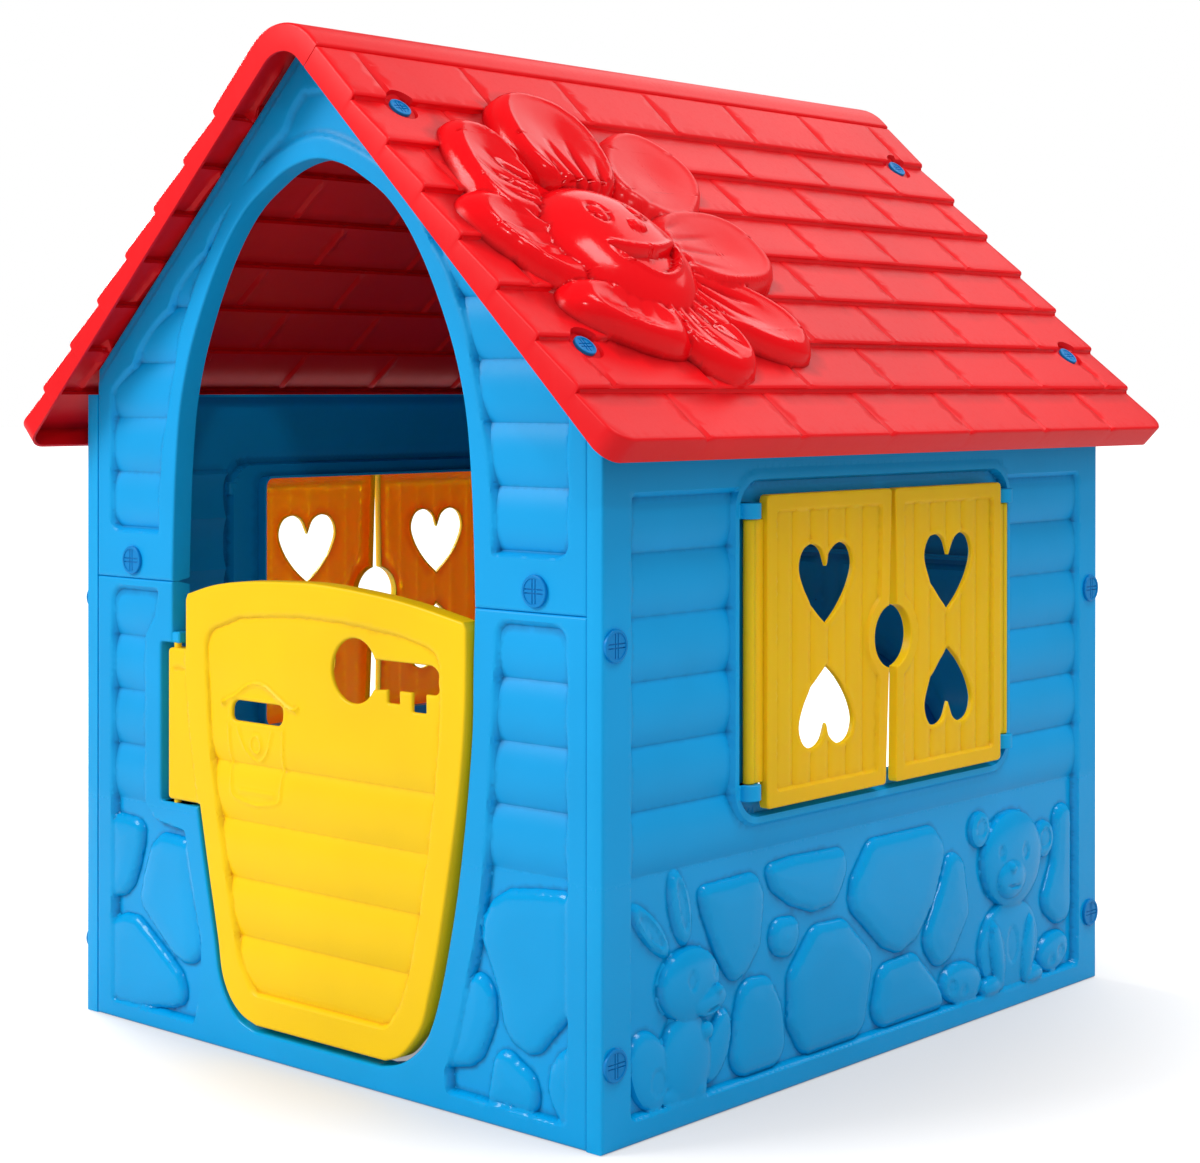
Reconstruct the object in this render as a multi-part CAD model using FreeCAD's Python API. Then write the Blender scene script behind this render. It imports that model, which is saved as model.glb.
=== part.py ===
import FreeCAD
import Part
import math
import os

# Moulded plastic playhouse, millimetres, +Z up, front wall faces -Y, origin on the ground at the centre.
# A wall is drawn in its own frame: u runs along the wall, z is up, depth grows inwards from the outer face.

# ---------------------------------------------------------------- driving dimensions
WIDTH, LENGTH = 770.0, 883.0          # outside of the walls, across and along
SKIN = 3.0                            # wall thickness of every moulding
SIDE_TOP = 688.0                      # top of the side walls
LIP = 19.0                            # corner lip of a side wall on the front and back faces
SEAM_Z = 487.0                        # joint between the two halves of an end wall
REVEAL = 24.0                         # depth of the flange round an opening
GAP = 0.3                             # moulding clearance between neighbours
ROOF_SEAT = 11.3                      # depth of the end walls' tops below the crest plane of the tiles

RIDGE_Z, EAVE_X, EAVE_Z = 1086.0, 450.0, 650.0   # crest plane of the tiles, meeting over x = 0
ROOF_HALF = 491.0                     # half the length of the roof
CAP_TOP, CAP_R = 1060.0, 66.0         # rounded ridge cap
COURSE, COURSES, STEP = 68.0, 8, 7.0  # tile course pitch, count and step height
FASCIA = 28.5                         # depth of the turned-down rims
FLOWER, FLOWER_FACE = (-257.0, 331.0), 96.0      # centre of the raised flower and radius of its middle
PETALS, PETAL_AT, PETAL_LONG, PETAL_WIDE = 8, 136.0, 68.0, 50.0

LOG_PITCH, LOG_BASE = 60.0, 3.0       # round siding logs
LOG_CREST, LOG_GROOVE = 3.0, 9.0      # depth of crest and groove below the border
STONE_TOP = 243.0                     # logs give way to stones below this

ARCH_X = -6.0                         # centre of the entrance arch
ARCH = [(228, 487), (226, 552), (222.5, 612), (215, 675), (201, 727), (182, 773), (156, 822),
        (129, 860), (104, 885), (76, 903), (42, 920), (0, 928)]
BACK_R, BACK_Z, BACK_SILL = 182.0, 192.0, 28.0   # crawl-through in the back wall

WIN_U, WIN_LOW, WIN_HIGH = 200.0, 293.0, 588.0   # window opening
LEAF_GAP, LEAF_START = 2.0, 212.0     # shutter leaf runs between these distances from the window centre
LEAF_LOW, LEAF_HIGH = 285.0, 592.0
LEAF_BACK, LEAF_FRONT = -2.0, -12.0   # depth of the leaf's faces
KNUCKLE_LOW, KNUCKLE_HIGH = 311.5, 568.5
SHUTTER_AXIS_U, SHUTTER_AXIS_D = 229.0, -2.0
PORT_R, PORT_Z = 33.0, 438.0          # round hole shared by the two leaves
PIN_R, PIN_PLAY = 4.0, 0.08

DOOR_FRONT, DOOR_BACK = -4.0, 16.0
DOOR_AXIS_U, DOOR_AXIS_D = -231.0, 6.0
COLLAR_U, COLLAR_Z = (-144.0, -40.0), (338.5, 378.0)      # block round the letter slot
TAB_LOW, TAB_HIGH = 253.0, 416.0      # hinge tab of the door
NOTCH_LOW, NOTCH_HIGH = 249.0, 421.0  # its notch in the jamb

BIG_HEAD, ROOF_HEAD, SHANK, HEAD_H = 15.5, 12.0, 4.0, 3.5
SEAM_SCREW = (302.0, 507.0)
CORNER_SCREW_IN, CORNER_SCREW_Z = 16.5, (79.0, 461.0)
ROOF_SCREW_Y, ROOF_SCREW_S = 430.0, (157.0, 498.0)

slope = math.atan2(RIDGE_Z - EAVE_Z, EAVE_X)
roof_len = math.hypot(RIDGE_Z - EAVE_Z, EAVE_X)
V = FreeCAD.Vector
os.makedirs("parts", exist_ok=True)


# ---------------------------------------------------------------- drawing helpers
def outline(points, depth=0.0):
    """Closed wire through (u, z) or (u, z, radius) corners."""
    edges, ends = [], []
    n = len(points)
    for i in range(n):
        p = V(points[i][0], depth, points[i][1])
        r = points[i][2] if len(points[i]) > 2 else 0.0
        if r <= 0:
            ends.append((p, p, None))
            continue
        a = V(points[i - 1][0], depth, points[i - 1][1]).sub(p).normalize()
        b = V(points[(i + 1) % n][0], depth, points[(i + 1) % n][1]).sub(p).normalize()
        half = a.getAngle(b) / 2
        cut = r / math.tan(half)
        mid = (a + b).normalize() * (r / math.sin(half) - r)
        ends.append((p + a * cut, p + b * cut, p + mid))
    for i, (start, end, mid) in enumerate(ends):
        if mid is not None:
            edges.append(Part.Arc(start, mid, end).toShape())
        nxt = ends[(i + 1) % n][0]
        if end.distanceToPoint(nxt) > 1e-6:
            edges.append(Part.makeLine(end, nxt))
    return Part.Wire(edges)


def arc_from(a, b, tangent):
    """Arc, or line, from a to b leaving a along the tangent."""
    side = V(-tangent.z, 0, tangent.x)
    chord = b.sub(a)
    lean = chord.dot(side)
    if abs(lean) < 1e-4 * chord.Length:
        return Part.makeLine(a, b)
    centre = a + side * (chord.dot(chord) / (2 * lean))
    mid = (a + b) * 0.5 - centre
    if mid.Length < 1e-6:
        mid = tangent
    return Part.Arc(a, centre + mid.normalize() * a.distanceToPoint(centre), b).toShape()


def curve(points, closed=False, first=None, last=None):
    """Smooth chain of tangent arcs through (u, z) points, as a list of edges."""
    pts = [V(u, 0, z) for u, z in points]
    n = len(pts)
    tangents = []
    for i in range(n):
        if closed:
            before, after = pts[i - 1], pts[(i + 1) % n]
        else:
            before, after = pts[max(i - 1, 0)], pts[min(i + 1, n - 1)]
        da, db = pts[i].distanceToPoint(before), pts[i].distanceToPoint(after)
        if da > 0 and db > 0:
            t = (pts[i].sub(before)) * (db / da) + (after.sub(pts[i])) * (da / db)
        else:
            t = after.sub(before)
        tangents.append(t.normalize())
    if not closed:
        for end, near, given in ((0, 1, first), (n - 1, n - 2, last)):
            if given is not None:
                tangents[end] = V(given[0], 0, given[1]).normalize()
            elif n > 2:
                chord = (pts[near].sub(pts[end])) * (1 if end == 0 else -1)
                chord.normalize()
                tangents[end] = (chord * (2 * chord.dot(tangents[near])) - tangents[near]).normalize()
    edges = []
    for i in range(n if closed else n - 1):
        p, q, s, t = pts[i], pts[(i + 1) % n], tangents[i], tangents[(i + 1) % n]
        v, both, apart = q.sub(p), s + t, 2 * (1 - s.dot(t))
        if apart < 1e-6:
            reach = v.dot(v) / (4 * v.dot(t))
        else:
            reach = (math.sqrt(v.dot(both) ** 2 + apart * v.dot(v)) - v.dot(both)) / apart
        mid = (p + q + (s - t) * reach) * 0.5
        edges.append(arc_from(p, mid, s))
        edges.append(arc_from(q, mid, t * -1))
    return edges


def smooth(points, first=None, last=None):
    """Run of a path that is rounded through its points; first and last fix the end directions."""
    return {"points": points, "edges": curve(points, False, first, last)}


def corners(points):
    """Run of a path with straight sides."""
    ends = [V(u, 0, z) for u, z in points]
    return {"points": points, "edges": [Part.makeLine(a, b) for a, b in zip(ends[:-1], ends[1:])]}


def path(*runs):
    """Closed wire from runs joined by straight lines."""
    edges = []
    for i, run in enumerate(runs):
        edges += run["edges"]
        (u0, z0), (u1, z1) = run["points"][-1], runs[(i + 1) % len(runs)]["points"][0]
        if math.hypot(u1 - u0, z1 - z0) > 1e-6:
            edges.append(Part.makeLine(V(u0, 0, z0), V(u1, 0, z1)))
    return Part.Wire(Part.__sortEdges__(edges))


def slab(wire, near, far):
    """Prism of an outline between two depths."""
    f = Part.Face(wire)
    f.translate(V(0, near, 0))
    return f.extrude(V(0, far - near, 0))


def grown(wire, distance):
    """Outline moved outwards, or inwards if negative."""
    return Part.Face(wire).makeOffset2D(distance).OuterWire


def box(u0, u1, d0, d1, z0, z1):
    return Part.makeBox(u1 - u0, d1 - d0, z1 - z0, V(u0, d0, z0))


def rod(u, d, z0, z1, r):
    return Part.makeCylinder(r, z1 - z0, V(u, d, z0))


def bore(u, z, d0, d1, r):
    return Part.makeCylinder(r, d1 - d0, V(u, d0, z), V(0, 1, 0))


def joined(shapes):
    s = shapes[0].fuse(shapes[1:]) if len(shapes) > 1 else shapes[0]
    return s.removeSplitter()


def at_front(s):
    s = s.copy()
    s.translate(V(0, -LENGTH / 2, 0))
    return s


def at_back(s):
    s = s.copy()
    s.rotate(V(0, 0, 0), V(0, 0, 1), 180)
    s.translate(V(0, LENGTH / 2, 0))
    return s


def at_right(s):
    s = s.copy()
    s.rotate(V(0, 0, 0), V(0, 0, 1), 90)
    s.translate(V(WIDTH / 2, 0, 0))
    return s


def mirrored_x(s):
    return s.mirror(V(0, 0, 0), V(1, 0, 0))


def mirrored_y(s):
    return s.mirror(V(0, 0, 0), V(0, 1, 0))


def save(name, shape):
    solids = shape.Solids
    assert len(solids) == 1, (name, len(solids))
    assert solids[0].isValid(), name
    solids[0].exportStep("parts/%s.step" % name)
    b = solids[0].BoundBox
    print("%-24s vol %9.0f  x %7.1f %7.1f  y %7.1f %7.1f  z %7.1f %7.1f" % (
        name, solids[0].Volume, b.XMin, b.XMax, b.YMin, b.YMax, b.ZMin, b.ZMax))


# ---------------------------------------------------------------- siding
def siding(crest=LOG_CREST, groove=LOG_GROOVE, skin=SKIN, low=STONE_TOP):
    """Corrugated sheet of round logs above `low`, flat sheet below it, wide enough for any wall."""
    top = 1083.0
    outer, inner = [], []
    z = low
    while z < top - 1:
        for depth, edges in ((0.0, outer), (skin, inner)):
            edges.append(Part.Arc(V(0, groove + depth, z), V(0, crest + depth, z + LOG_PITCH / 2),
                                  V(0, groove + depth, z + LOG_PITCH)).toShape())
        z += LOG_PITCH
    foot = [Part.makeLine(V(0, groove + skin, low), V(0, groove + skin, -50)),
            Part.makeLine(V(0, groove + skin, -50), V(0, groove, -50)),
            Part.makeLine(V(0, groove, -50), V(0, groove, low))]
    head = [Part.makeLine(V(0, groove, z), V(0, groove + skin, z))]
    wire = Part.Wire(Part.__sortEdges__(outer + head + inner + foot))
    f = Part.Face(wire)
    f.translate(V(-500, 0, 0))
    return f.extrude(V(1000, 0, 0))


def recess(panel, field, sheet, depth=LOG_GROOVE + SKIN, wall=3.5, face=0.0):
    """Sink a field into a panel and floor it with the siding sheet."""
    big = grown(field, wall)
    lining = slab(big, face, depth).cut(slab(field, face - 1, depth + 1))
    floor = sheet.common(slab(big, face, depth + 20))
    return joined([panel.cut(slab(field, face - 1, face + SKIN + 1)), lining, floor])


# ---------------------------------------------------------------- end walls
inner_half = WIDTH / 2 - SKIN          # inside of the side walls' corner strips
plate_half = WIDTH / 2 - LIP


def roof_line(u, clear=ROOF_SEAT):
    """Height of the underside of the roof over the wall at u."""
    return RIDGE_Z - clear / math.cos(slope) - abs(u) * math.tan(slope)


def roof_flange(z_low):
    """Turned-in top edge that the roof screws bite into."""
    edge = inner_half - GAP
    pts = [(-edge, roof_line(edge)), (-19, roof_line(19)), (19, roof_line(19)), (edge, roof_line(edge)),
           (edge, roof_line(edge) - 5.6), (19, roof_line(19) - 5.6), (-19, roof_line(19) - 5.6),
           (-edge, roof_line(edge) - 5.6)]
    return slab(outline(pts), SKIN + GAP, REVEAL + 4)


def side_flanges(z0, z1):
    """Step behind the corner lip and the flange inside the side wall's strip."""
    parts = []
    edge = inner_half - GAP
    for s in (-1, 1):
        u0, u1 = sorted((s * (plate_half - GAP - 4), s * (plate_half - GAP)))
        parts.append(box(u0, u1, 0, 2 * SKIN + GAP, z0, z1))
        u0, u1 = sorted((s * (plate_half - GAP - 4), s * edge))
        parts.append(box(u0, u1, SKIN + GAP, 2 * SKIN + GAP, z0, z1))
        u0, u1 = sorted((s * (edge - SKIN), s * edge))
        parts.append(box(u0, u1, SKIN + GAP, REVEAL + 4, z0, z1))
    return parts


def corner_bosses(z):
    """Bosses behind the side flanges for the corner screws."""
    edge = inner_half - GAP
    return [Part.makeCylinder(9, 19, V(s * edge, CORNER_SCREW_IN, z), V(-s, 0, 0)) for s in (-1, 1)]


def corner_holes(z):
    edge = inner_half - GAP
    return [Part.makeCylinder(SHANK + 0.1, 30, V(s * (edge + 2), CORNER_SCREW_IN, z), V(-s, 0, 0)) for s in (-1, 1)]


def gable_plate():
    edge = plate_half - GAP
    pts = [(-edge, SEAM_Z), (edge, SEAM_Z), (edge, roof_line(edge)), (19, roof_line(19)), (-19, roof_line(19)),
           (-edge, roof_line(edge))]
    return slab(outline(pts), 0, SKIN)


def roof_bosses(cut):
    """Bosses, or their holes, square to the slope under the flange."""
    out = []
    for s in (-1, 1):
        for along in ROOF_SCREW_S:
            normal = V(s * math.sin(slope), 0, math.cos(slope))
            crest = V(s * along * math.cos(slope), LENGTH / 2 - ROOF_SCREW_Y, RIDGE_Z - along * math.sin(slope))
            top = crest - normal * ROOF_SEAT
            if cut:
                out.append(Part.makeCylinder(SHANK + 0.1, 60, top + normal * 5, normal * -1))
            else:
                out.append(Part.makeCylinder(8.5, 18, top, normal * -1))
    return out


def arch_curve(low):
    right = [(ARCH_X + w, z) for w, z in ARCH]
    left = [(ARCH_X - w, z) for w, z in reversed(ARCH[:-1])]
    foot = [(ARCH_X - ARCH[0][0], low), (ARCH_X + ARCH[0][0], low)]
    return path(smooth(right + left, (0, 1), (0, -1)), corners(foot))


def plug(wire, far, z0, z1):
    """Block that leaves the turned-in edge of an opening once the opening is cut, between two heights."""
    return slab(grown(wire, SKIN), 0, far).common(box(-450, 450, -1, far + 1, z0, z1))


def gable_field(side):
    """Sunk field between the arch band, the seam border and the roof border."""
    s = side
    pts = [(s * 344, 536, 18), (ARCH_X + s * 250, 536, 14)]
    band = [(247, 600), (240, 660), (226, 715), (208, 765), (182, 818), (150, 862), (124, 890)]
    pts += [(ARCH_X + s * w, z) for w, z in band]
    pts += [(s * 112, roof_line(112) - 40), (s * 344, roof_line(344) - 40, 12)]
    return outline(pts)


def end_wall_upper(arched):
    sheet = siding(low=3.0)
    panel = gable_plate()
    if arched:
        for s in (-1, 1):
            panel = recess(panel, gable_field(s), sheet)
    else:
        edge = 330.0
        pts = [(-edge, 536, 18), (edge, 536, 18), (edge, roof_line(edge) - 42, 10), (70, roof_line(70) - 42, 30),
               (-70, roof_line(70) - 42, 30), (-edge, roof_line(edge) - 42, 10)]
        panel = recess(panel, outline(pts), sheet)
    edge = plate_half - GAP
    parts = [panel, roof_flange(SEAM_Z)]
    parts += side_flanges(SEAM_Z + 41, roof_line(inner_half) - 2)
    # the step of the plate that carries the flange, following the roof line
    pts = [(-edge, roof_line(edge)), (-19, roof_line(19)), (19, roof_line(19)), (edge, roof_line(edge)),
           (edge, roof_line(edge) - 5.6), (19, roof_line(19) - 5.6), (-19, roof_line(19) - 5.6),
           (-edge, roof_line(edge) - 5.6)]
    parts.append(slab(outline(pts), 0, SKIN + 1))
    parts += roof_bosses(False)
    if arched:
        parts.append(plug(arch_curve(SEAM_Z - 60), REVEAL, SEAM_Z, 1000))
    wall = joined(parts)
    cuts = roof_bosses(True)
    cuts += [bore(s * SEAM_SCREW[0], SEAM_SCREW[1], -1, SKIN + 1, SHANK + 0.5) for s in (-1, 1)]
    if arched:
        cuts.append(slab(arch_curve(SEAM_Z - 60), -5, REVEAL + 5))
    return wall.cut(cuts)


def doorway():
    """Tub-shaped lower part of the entrance, with the hinge notch in its left jamb."""
    right = [(222, 487), (220, 430), (219, 374), (214, 318), (207, 262), (198, 206), (186, 150), (175, 108),
             (165, 80), (154, 60), (137, 44), (118, 33), (92, 26)]
    left = [(-97, 26), (-123, 34), (-141, 50), (-155, 77), (-163, 116), (-180, 192), (-191, NOTCH_LOW)]
    notch = [(-191, NOTCH_LOW), (-254, NOTCH_LOW), (-254, NOTCH_HIGH), (-234, NOTCH_HIGH), (-234, 560),
             (222, 560)]
    return path(smooth(right, (0, -1), (-1, 0)), smooth(left, (-1, 0)), corners(notch))


def crawlway():
    r, c, sill = BACK_R, BACK_Z, BACK_SILL
    arc = Part.Arc(V(r, 0, c), V(0, 0, c + r), V(-r, 0, c)).toShape()
    return Part.Wire([arc, Part.makeLine(V(-r, 0, c), V(-r, 0, sill)), Part.makeLine(V(-r, 0, sill), V(r, 0, sill)),
                      Part.makeLine(V(r, 0, sill), V(r, 0, c))])


FRONT_STONES = [
    [(-332, 222), (-296, 218), (-293, 190), (-306, 152), (-332, 140)],
    [(-250, 216), (-205, 214), (-196, 170), (-178, 112), (-205, 84), (-240, 92), (-280, 128), (-272, 180)],
    [(-328, 112), (-300, 112), (-262, 78), (-268, 44), (-328, 40)],
    [(-232, 64), (-196, 62), (-180, 36), (-236, 22), (-262, 32)],
    [(262, 228), (334, 222), (334, 128), (312, 84), (284, 76), (254, 100), (240, 156), (236, 200)],
    [(222, 132), (234, 128), (240, 100), (222, 66), (196, 52), (192, 74), (204, 106)],
    [(250, 70), (300, 66), (300, 24), (238, 20)],
]
SIDE_STONES = [
    [(-292, 220), (-206, 222), (-196, 196), (-202, 146), (-240, 118), (-268, 146), (-288, 190)],
    [(-190, 226), (-60, 224), (-54, 200), (-76, 170), (-116, 168), (-176, 192)],
    [(-178, 172), (-138, 166), (-136, 144), (-154, 126), (-184, 138)],
    [(-18, 226), (104, 222), (130, 198), (106, 142), (62, 106), (18, 112), (-48, 160)],
    [(142, 192), (166, 178), (176, 116), (132, 72), (92, 78), (88, 108), (118, 160)],
    [(-112, 152), (-58, 150), (-6, 106), (-24, 28), (-132, 26), (-154, 60), (-154, 112)],
    [(-230, 116), (-184, 116), (-164, 84), (-158, 28), (-246, 26), (-242, 84)],
    [(6, 92), (72, 94), (112, 54), (124, 26), (-14, 26)],
    [(352, 214), (378, 212), (382, 84), (360, 78), (322, 104), (350, 150)],
]
# simple rounded figures: (u, z, half width, half height, thickness)
LEFT_FIGURE = [(-352, 40, 44, 24, 7), (-320, 72, 34, 44, 10), (-310, 128, 44, 34, 13), (-350, 186, 13, 42, 7),
               (-322, 200, 13, 40, 8)]
RIGHT_FIGURE = [(238, 66, 56, 46, 10), (238, 150, 50, 44, 13), (196, 184, 17, 17, 8), (280, 184, 17, 17, 8),
                (180, 36, 34, 20, 9), (300, 36, 34, 20, 9)]


def stones(groups):
    """Raised stones and the hollows behind them."""
    outlines = [outline([(u, z, 9) for u, z in pts]) for pts in groups]
    return ([slab(w, LOG_CREST, LOG_GROOVE + 1) for w in outlines],
            [slab(grown(w, -SKIN), LOG_CREST + SKIN, LOG_GROOVE + SKIN + 1) for w in outlines])


def discs(figure, hollow=False):
    """Rounded figure built of ellipses, or the hollow behind it."""
    out = []
    for u, z, a, b, t in figure:
        if hollow:
            a, b = a - SKIN, b - SKIN
        big, small, turn = (a, b, 0) if a >= b else (b, a, 90)
        e = Part.Ellipse(V(0, 0, 0), big, small)
        f = Part.Face(Part.Wire([e.toShape()]))
        f.rotate(V(0, 0, 0), V(0, 0, 1), turn)
        f.rotate(V(0, 0, 0), V(1, 0, 0), 90)
        start = LOG_GROOVE + (SKIN + 1 if hollow else 1)
        f.translate(V(u, start, z))
        out.append(f.extrude(V(0, LOG_GROOVE - t + (SKIN if hollow else 0) - start, 0)))
    return out


def lower_fields(arched):
    if arched:
        left = [(-342, 479, 18), (-258, 479, 6), (-262, 446, 10), (-280, 426, 8), (-280, 236, 8), (-212, 226, 8),
                (-200, 170), (-184, 110), (-184, 66), (-170, 44), (-196, 16, 6), (-342, 16, 8)]
        right = [(246, 479, 18), (343, 479, 18), (343, 16, 8), (196, 16, 6), (176, 38), (198, 78), (212, 126),
                 (226, 190), (233, 240), (240, 307), (244, 374)]
        return [outline(left), outline(right)]
    edge, r = 343.0, BACK_R + 26
    arc = [(r * math.cos(t), BACK_Z + r * math.sin(t)) for t in [math.radians(a) for a in range(0, 91, 15)]]
    right = [(edge, 479, 18), (edge, 16, 8), (r, 16, 6)] + arc[:-1] + [(14, BACK_Z + r), (14, 479, 10)]
    return [outline(right), outline([(-p[0], *p[1:]) for p in right])]


def end_wall_lower(arched):
    edge = plate_half - GAP
    opening = doorway() if arched else crawlway()
    panel = slab(outline([(-edge, 0), (edge, 0), (edge, SEAM_Z - GAP), (-edge, SEAM_Z - GAP)]), 0, SKIN)
    fields = lower_fields(arched)
    sheet = siding()
    for f in fields:
        panel = recess(panel, f, sheet)
    parts = [panel]
    parts += side_flanges(0, SEAM_Z + 13)
    if arched:
        pads, hollows = stones(FRONT_STONES)
        limits = [slab(f, 0, 20) for f in fields]
        parts += [p.common(limits[0] if p.BoundBox.XMax < 0 else limits[1]) for p in pads]
        hollows = [p.common(limits[0] if p.BoundBox.XMax < 0 else limits[1]) for p in hollows]
    # tongues behind the upper half, foot rim and corner bosses
    for s in (-1, 1):
        u0, u1 = sorted((s * 244, s * (inner_half - GAP)))
        parts.append(box(u0, u1, SKIN + GAP, 2 * SKIN + GAP, SEAM_Z - 8, SEAM_Z + 40))
        u0, u1 = sorted((s * 244, s * edge))
        parts.append(box(u0, u1, 1, 2 * SKIN + GAP, SEAM_Z - 8, SEAM_Z - GAP))
        parts.append(bore(s * SEAM_SCREW[0], SEAM_SCREW[1], SKIN + GAP, 22, 9))
    parts.append(box(-edge, edge, SKIN - 1, REVEAL, 0, SKIN))
    for z in CORNER_SCREW_Z:
        parts += corner_bosses(z)
    parts.append(plug(opening, REVEAL, 0, SEAM_Z - GAP))
    if arched:
        for z0, z1 in ((NOTCH_HIGH, NOTCH_HIGH + 12), (NOTCH_LOW - 12, NOTCH_LOW)):
            parts.append(box(DOOR_AXIS_U - 25, DOOR_AXIS_U + (8 if z0 > 400 else 24), 0, 16, z0, z1))
    wall = joined(parts)
    if arched:
        wall = wall.cut(hollows)
    cuts = [bore(s * SEAM_SCREW[0], SEAM_SCREW[1], 0, 30, SHANK + 0.1) for s in (-1, 1)]
    for z in CORNER_SCREW_Z:
        cuts += corner_holes(z)
    cuts.append(slab(opening, -5, REVEAL + 5))
    if arched:
        cuts.append(rod(DOOR_AXIS_U, DOOR_AXIS_D, TAB_LOW - 12, TAB_HIGH + 12, PIN_R + PIN_PLAY))
    # seam flanks of the upper half stay clear
    cuts.append(box(-WIDTH, WIDTH, -5, SKIN + GAP - 0.001, SEAM_Z - GAP, 700))
    wall = wall.cut(cuts)
    if arched:
        wall = joined([wall, box(209, 223, DOOR_BACK + 1, DOOR_BACK + 5, 440, 470)])   # door stop
    return wall


# ---------------------------------------------------------------- side walls
def side_wall():
    half = LENGTH / 2
    panel = slab(outline([(-half, 0), (half, 0), (half, SIDE_TOP), (-half, SIDE_TOP)]), 0, SKIN)
    field = outline([(-402, 20, 10), (402, 20, 10), (402, 600, 6), (-402, 600, 6)])
    panel = recess(panel, field, siding())
    surround = outline([(-252, 267, 40), (252, 267, 40), (252, 617, 40), (-252, 617, 40)])
    pocket = outline([(-243, 277, 32), (243, 277, 32), (243, 607, 32), (-243, 607, 32)])
    window = outline([(-WIN_U, WIN_LOW, 10), (WIN_U, WIN_LOW, 10), (WIN_U, WIN_HIGH, 10), (-WIN_U, WIN_HIGH, 10)])
    parts = [panel.cut(slab(surround, -1, 30))]
    parts.append(slab(surround, -1.5, LOG_GROOVE + SKIN).cut(slab(pocket, -2, LOG_GROOVE + SKIN + 1)))
    parts.append(slab(grown(pocket, 2), LOG_GROOVE - 1, LOG_GROOVE + SKIN).cut(slab(window, 0, 30)))
    parts.append(slab(grown(window, SKIN), LOG_GROOVE, REVEAL).cut(slab(window, 0, 30)))
    pads, hollows = stones(SIDE_STONES)
    parts += pads
    limit = slab(field, -6, 20)
    parts += [d.common(limit) for d in discs(LEFT_FIGURE) + discs(RIGHT_FIGURE)]
    hollows += [d.common(limit) for d in discs(LEFT_FIGURE, True) + discs(RIGHT_FIGURE, True)]
    for s in (-1, 1):
        u0, u1 = sorted((s * half, s * (half - SKIN)))
        parts.append(box(u0, u1, 0, LIP, 0, SIDE_TOP))
        for z0, z1 in ((KNUCKLE_HIGH + 0.5, KNUCKLE_HIGH + 16), (KNUCKLE_LOW - 16, KNUCKLE_LOW - 0.5)):
            parts.append(rod(s * SHUTTER_AXIS_U, SHUTTER_AXIS_D, z0, z1, 12))
            u0, u1 = sorted((s * (SHUTTER_AXIS_U - 12), s * (SHUTTER_AXIS_U + 16)))
            parts.append(box(u0, u1, SHUTTER_AXIS_D, LOG_GROOVE + 2, z0, z1))
    parts.append(box(-half + 1, half - 1, 0, REVEAL - 4, SIDE_TOP - SKIN, SIDE_TOP))
    parts.append(box(-400, 400, SKIN - 1, REVEAL, 0, SKIN))
    wall = joined(parts)
    cuts = hollows
    for s in (-1, 1):
        cuts.append(rod(s * SHUTTER_AXIS_U, SHUTTER_AXIS_D, KNUCKLE_LOW - 9, KNUCKLE_HIGH + 9, PIN_R + PIN_PLAY))
        for z in CORNER_SCREW_Z:
            cuts.append(bore(s * (half - CORNER_SCREW_IN), z, -1, SKIN + 1, SHANK + 0.5))
    # the roof screws' bosses and the end walls' flanges pass inside the top flange
    for s in (-1, 1):
        u0, u1 = sorted((s * (half + 5), s * (half - REVEAL - 5)))
        cuts.append(box(u0, u1, SKIN, REVEAL + 5, SIDE_TOP - SKIN - 1, SIDE_TOP + 1))
    return wall.cut(cuts)


# ---------------------------------------------------------------- shutters
def heart(u, z, w, h, way):
    """Heart outline; way 1 has its tip down, -1 its tip up."""
    shape = [(0, -0.5), (0.22, -0.30), (0.42, -0.02), (0.5, 0.24), (0.42, 0.44), (0.25, 0.5), (0.10, 0.43),
             (0, 0.22)]
    right = [(u + a * w, z + way * b * h) for a, b in shape]
    left = [(u - a * w, z + way * b * h) for a, b in reversed(shape)]
    return path(smooth(right), smooth(left))


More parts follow.
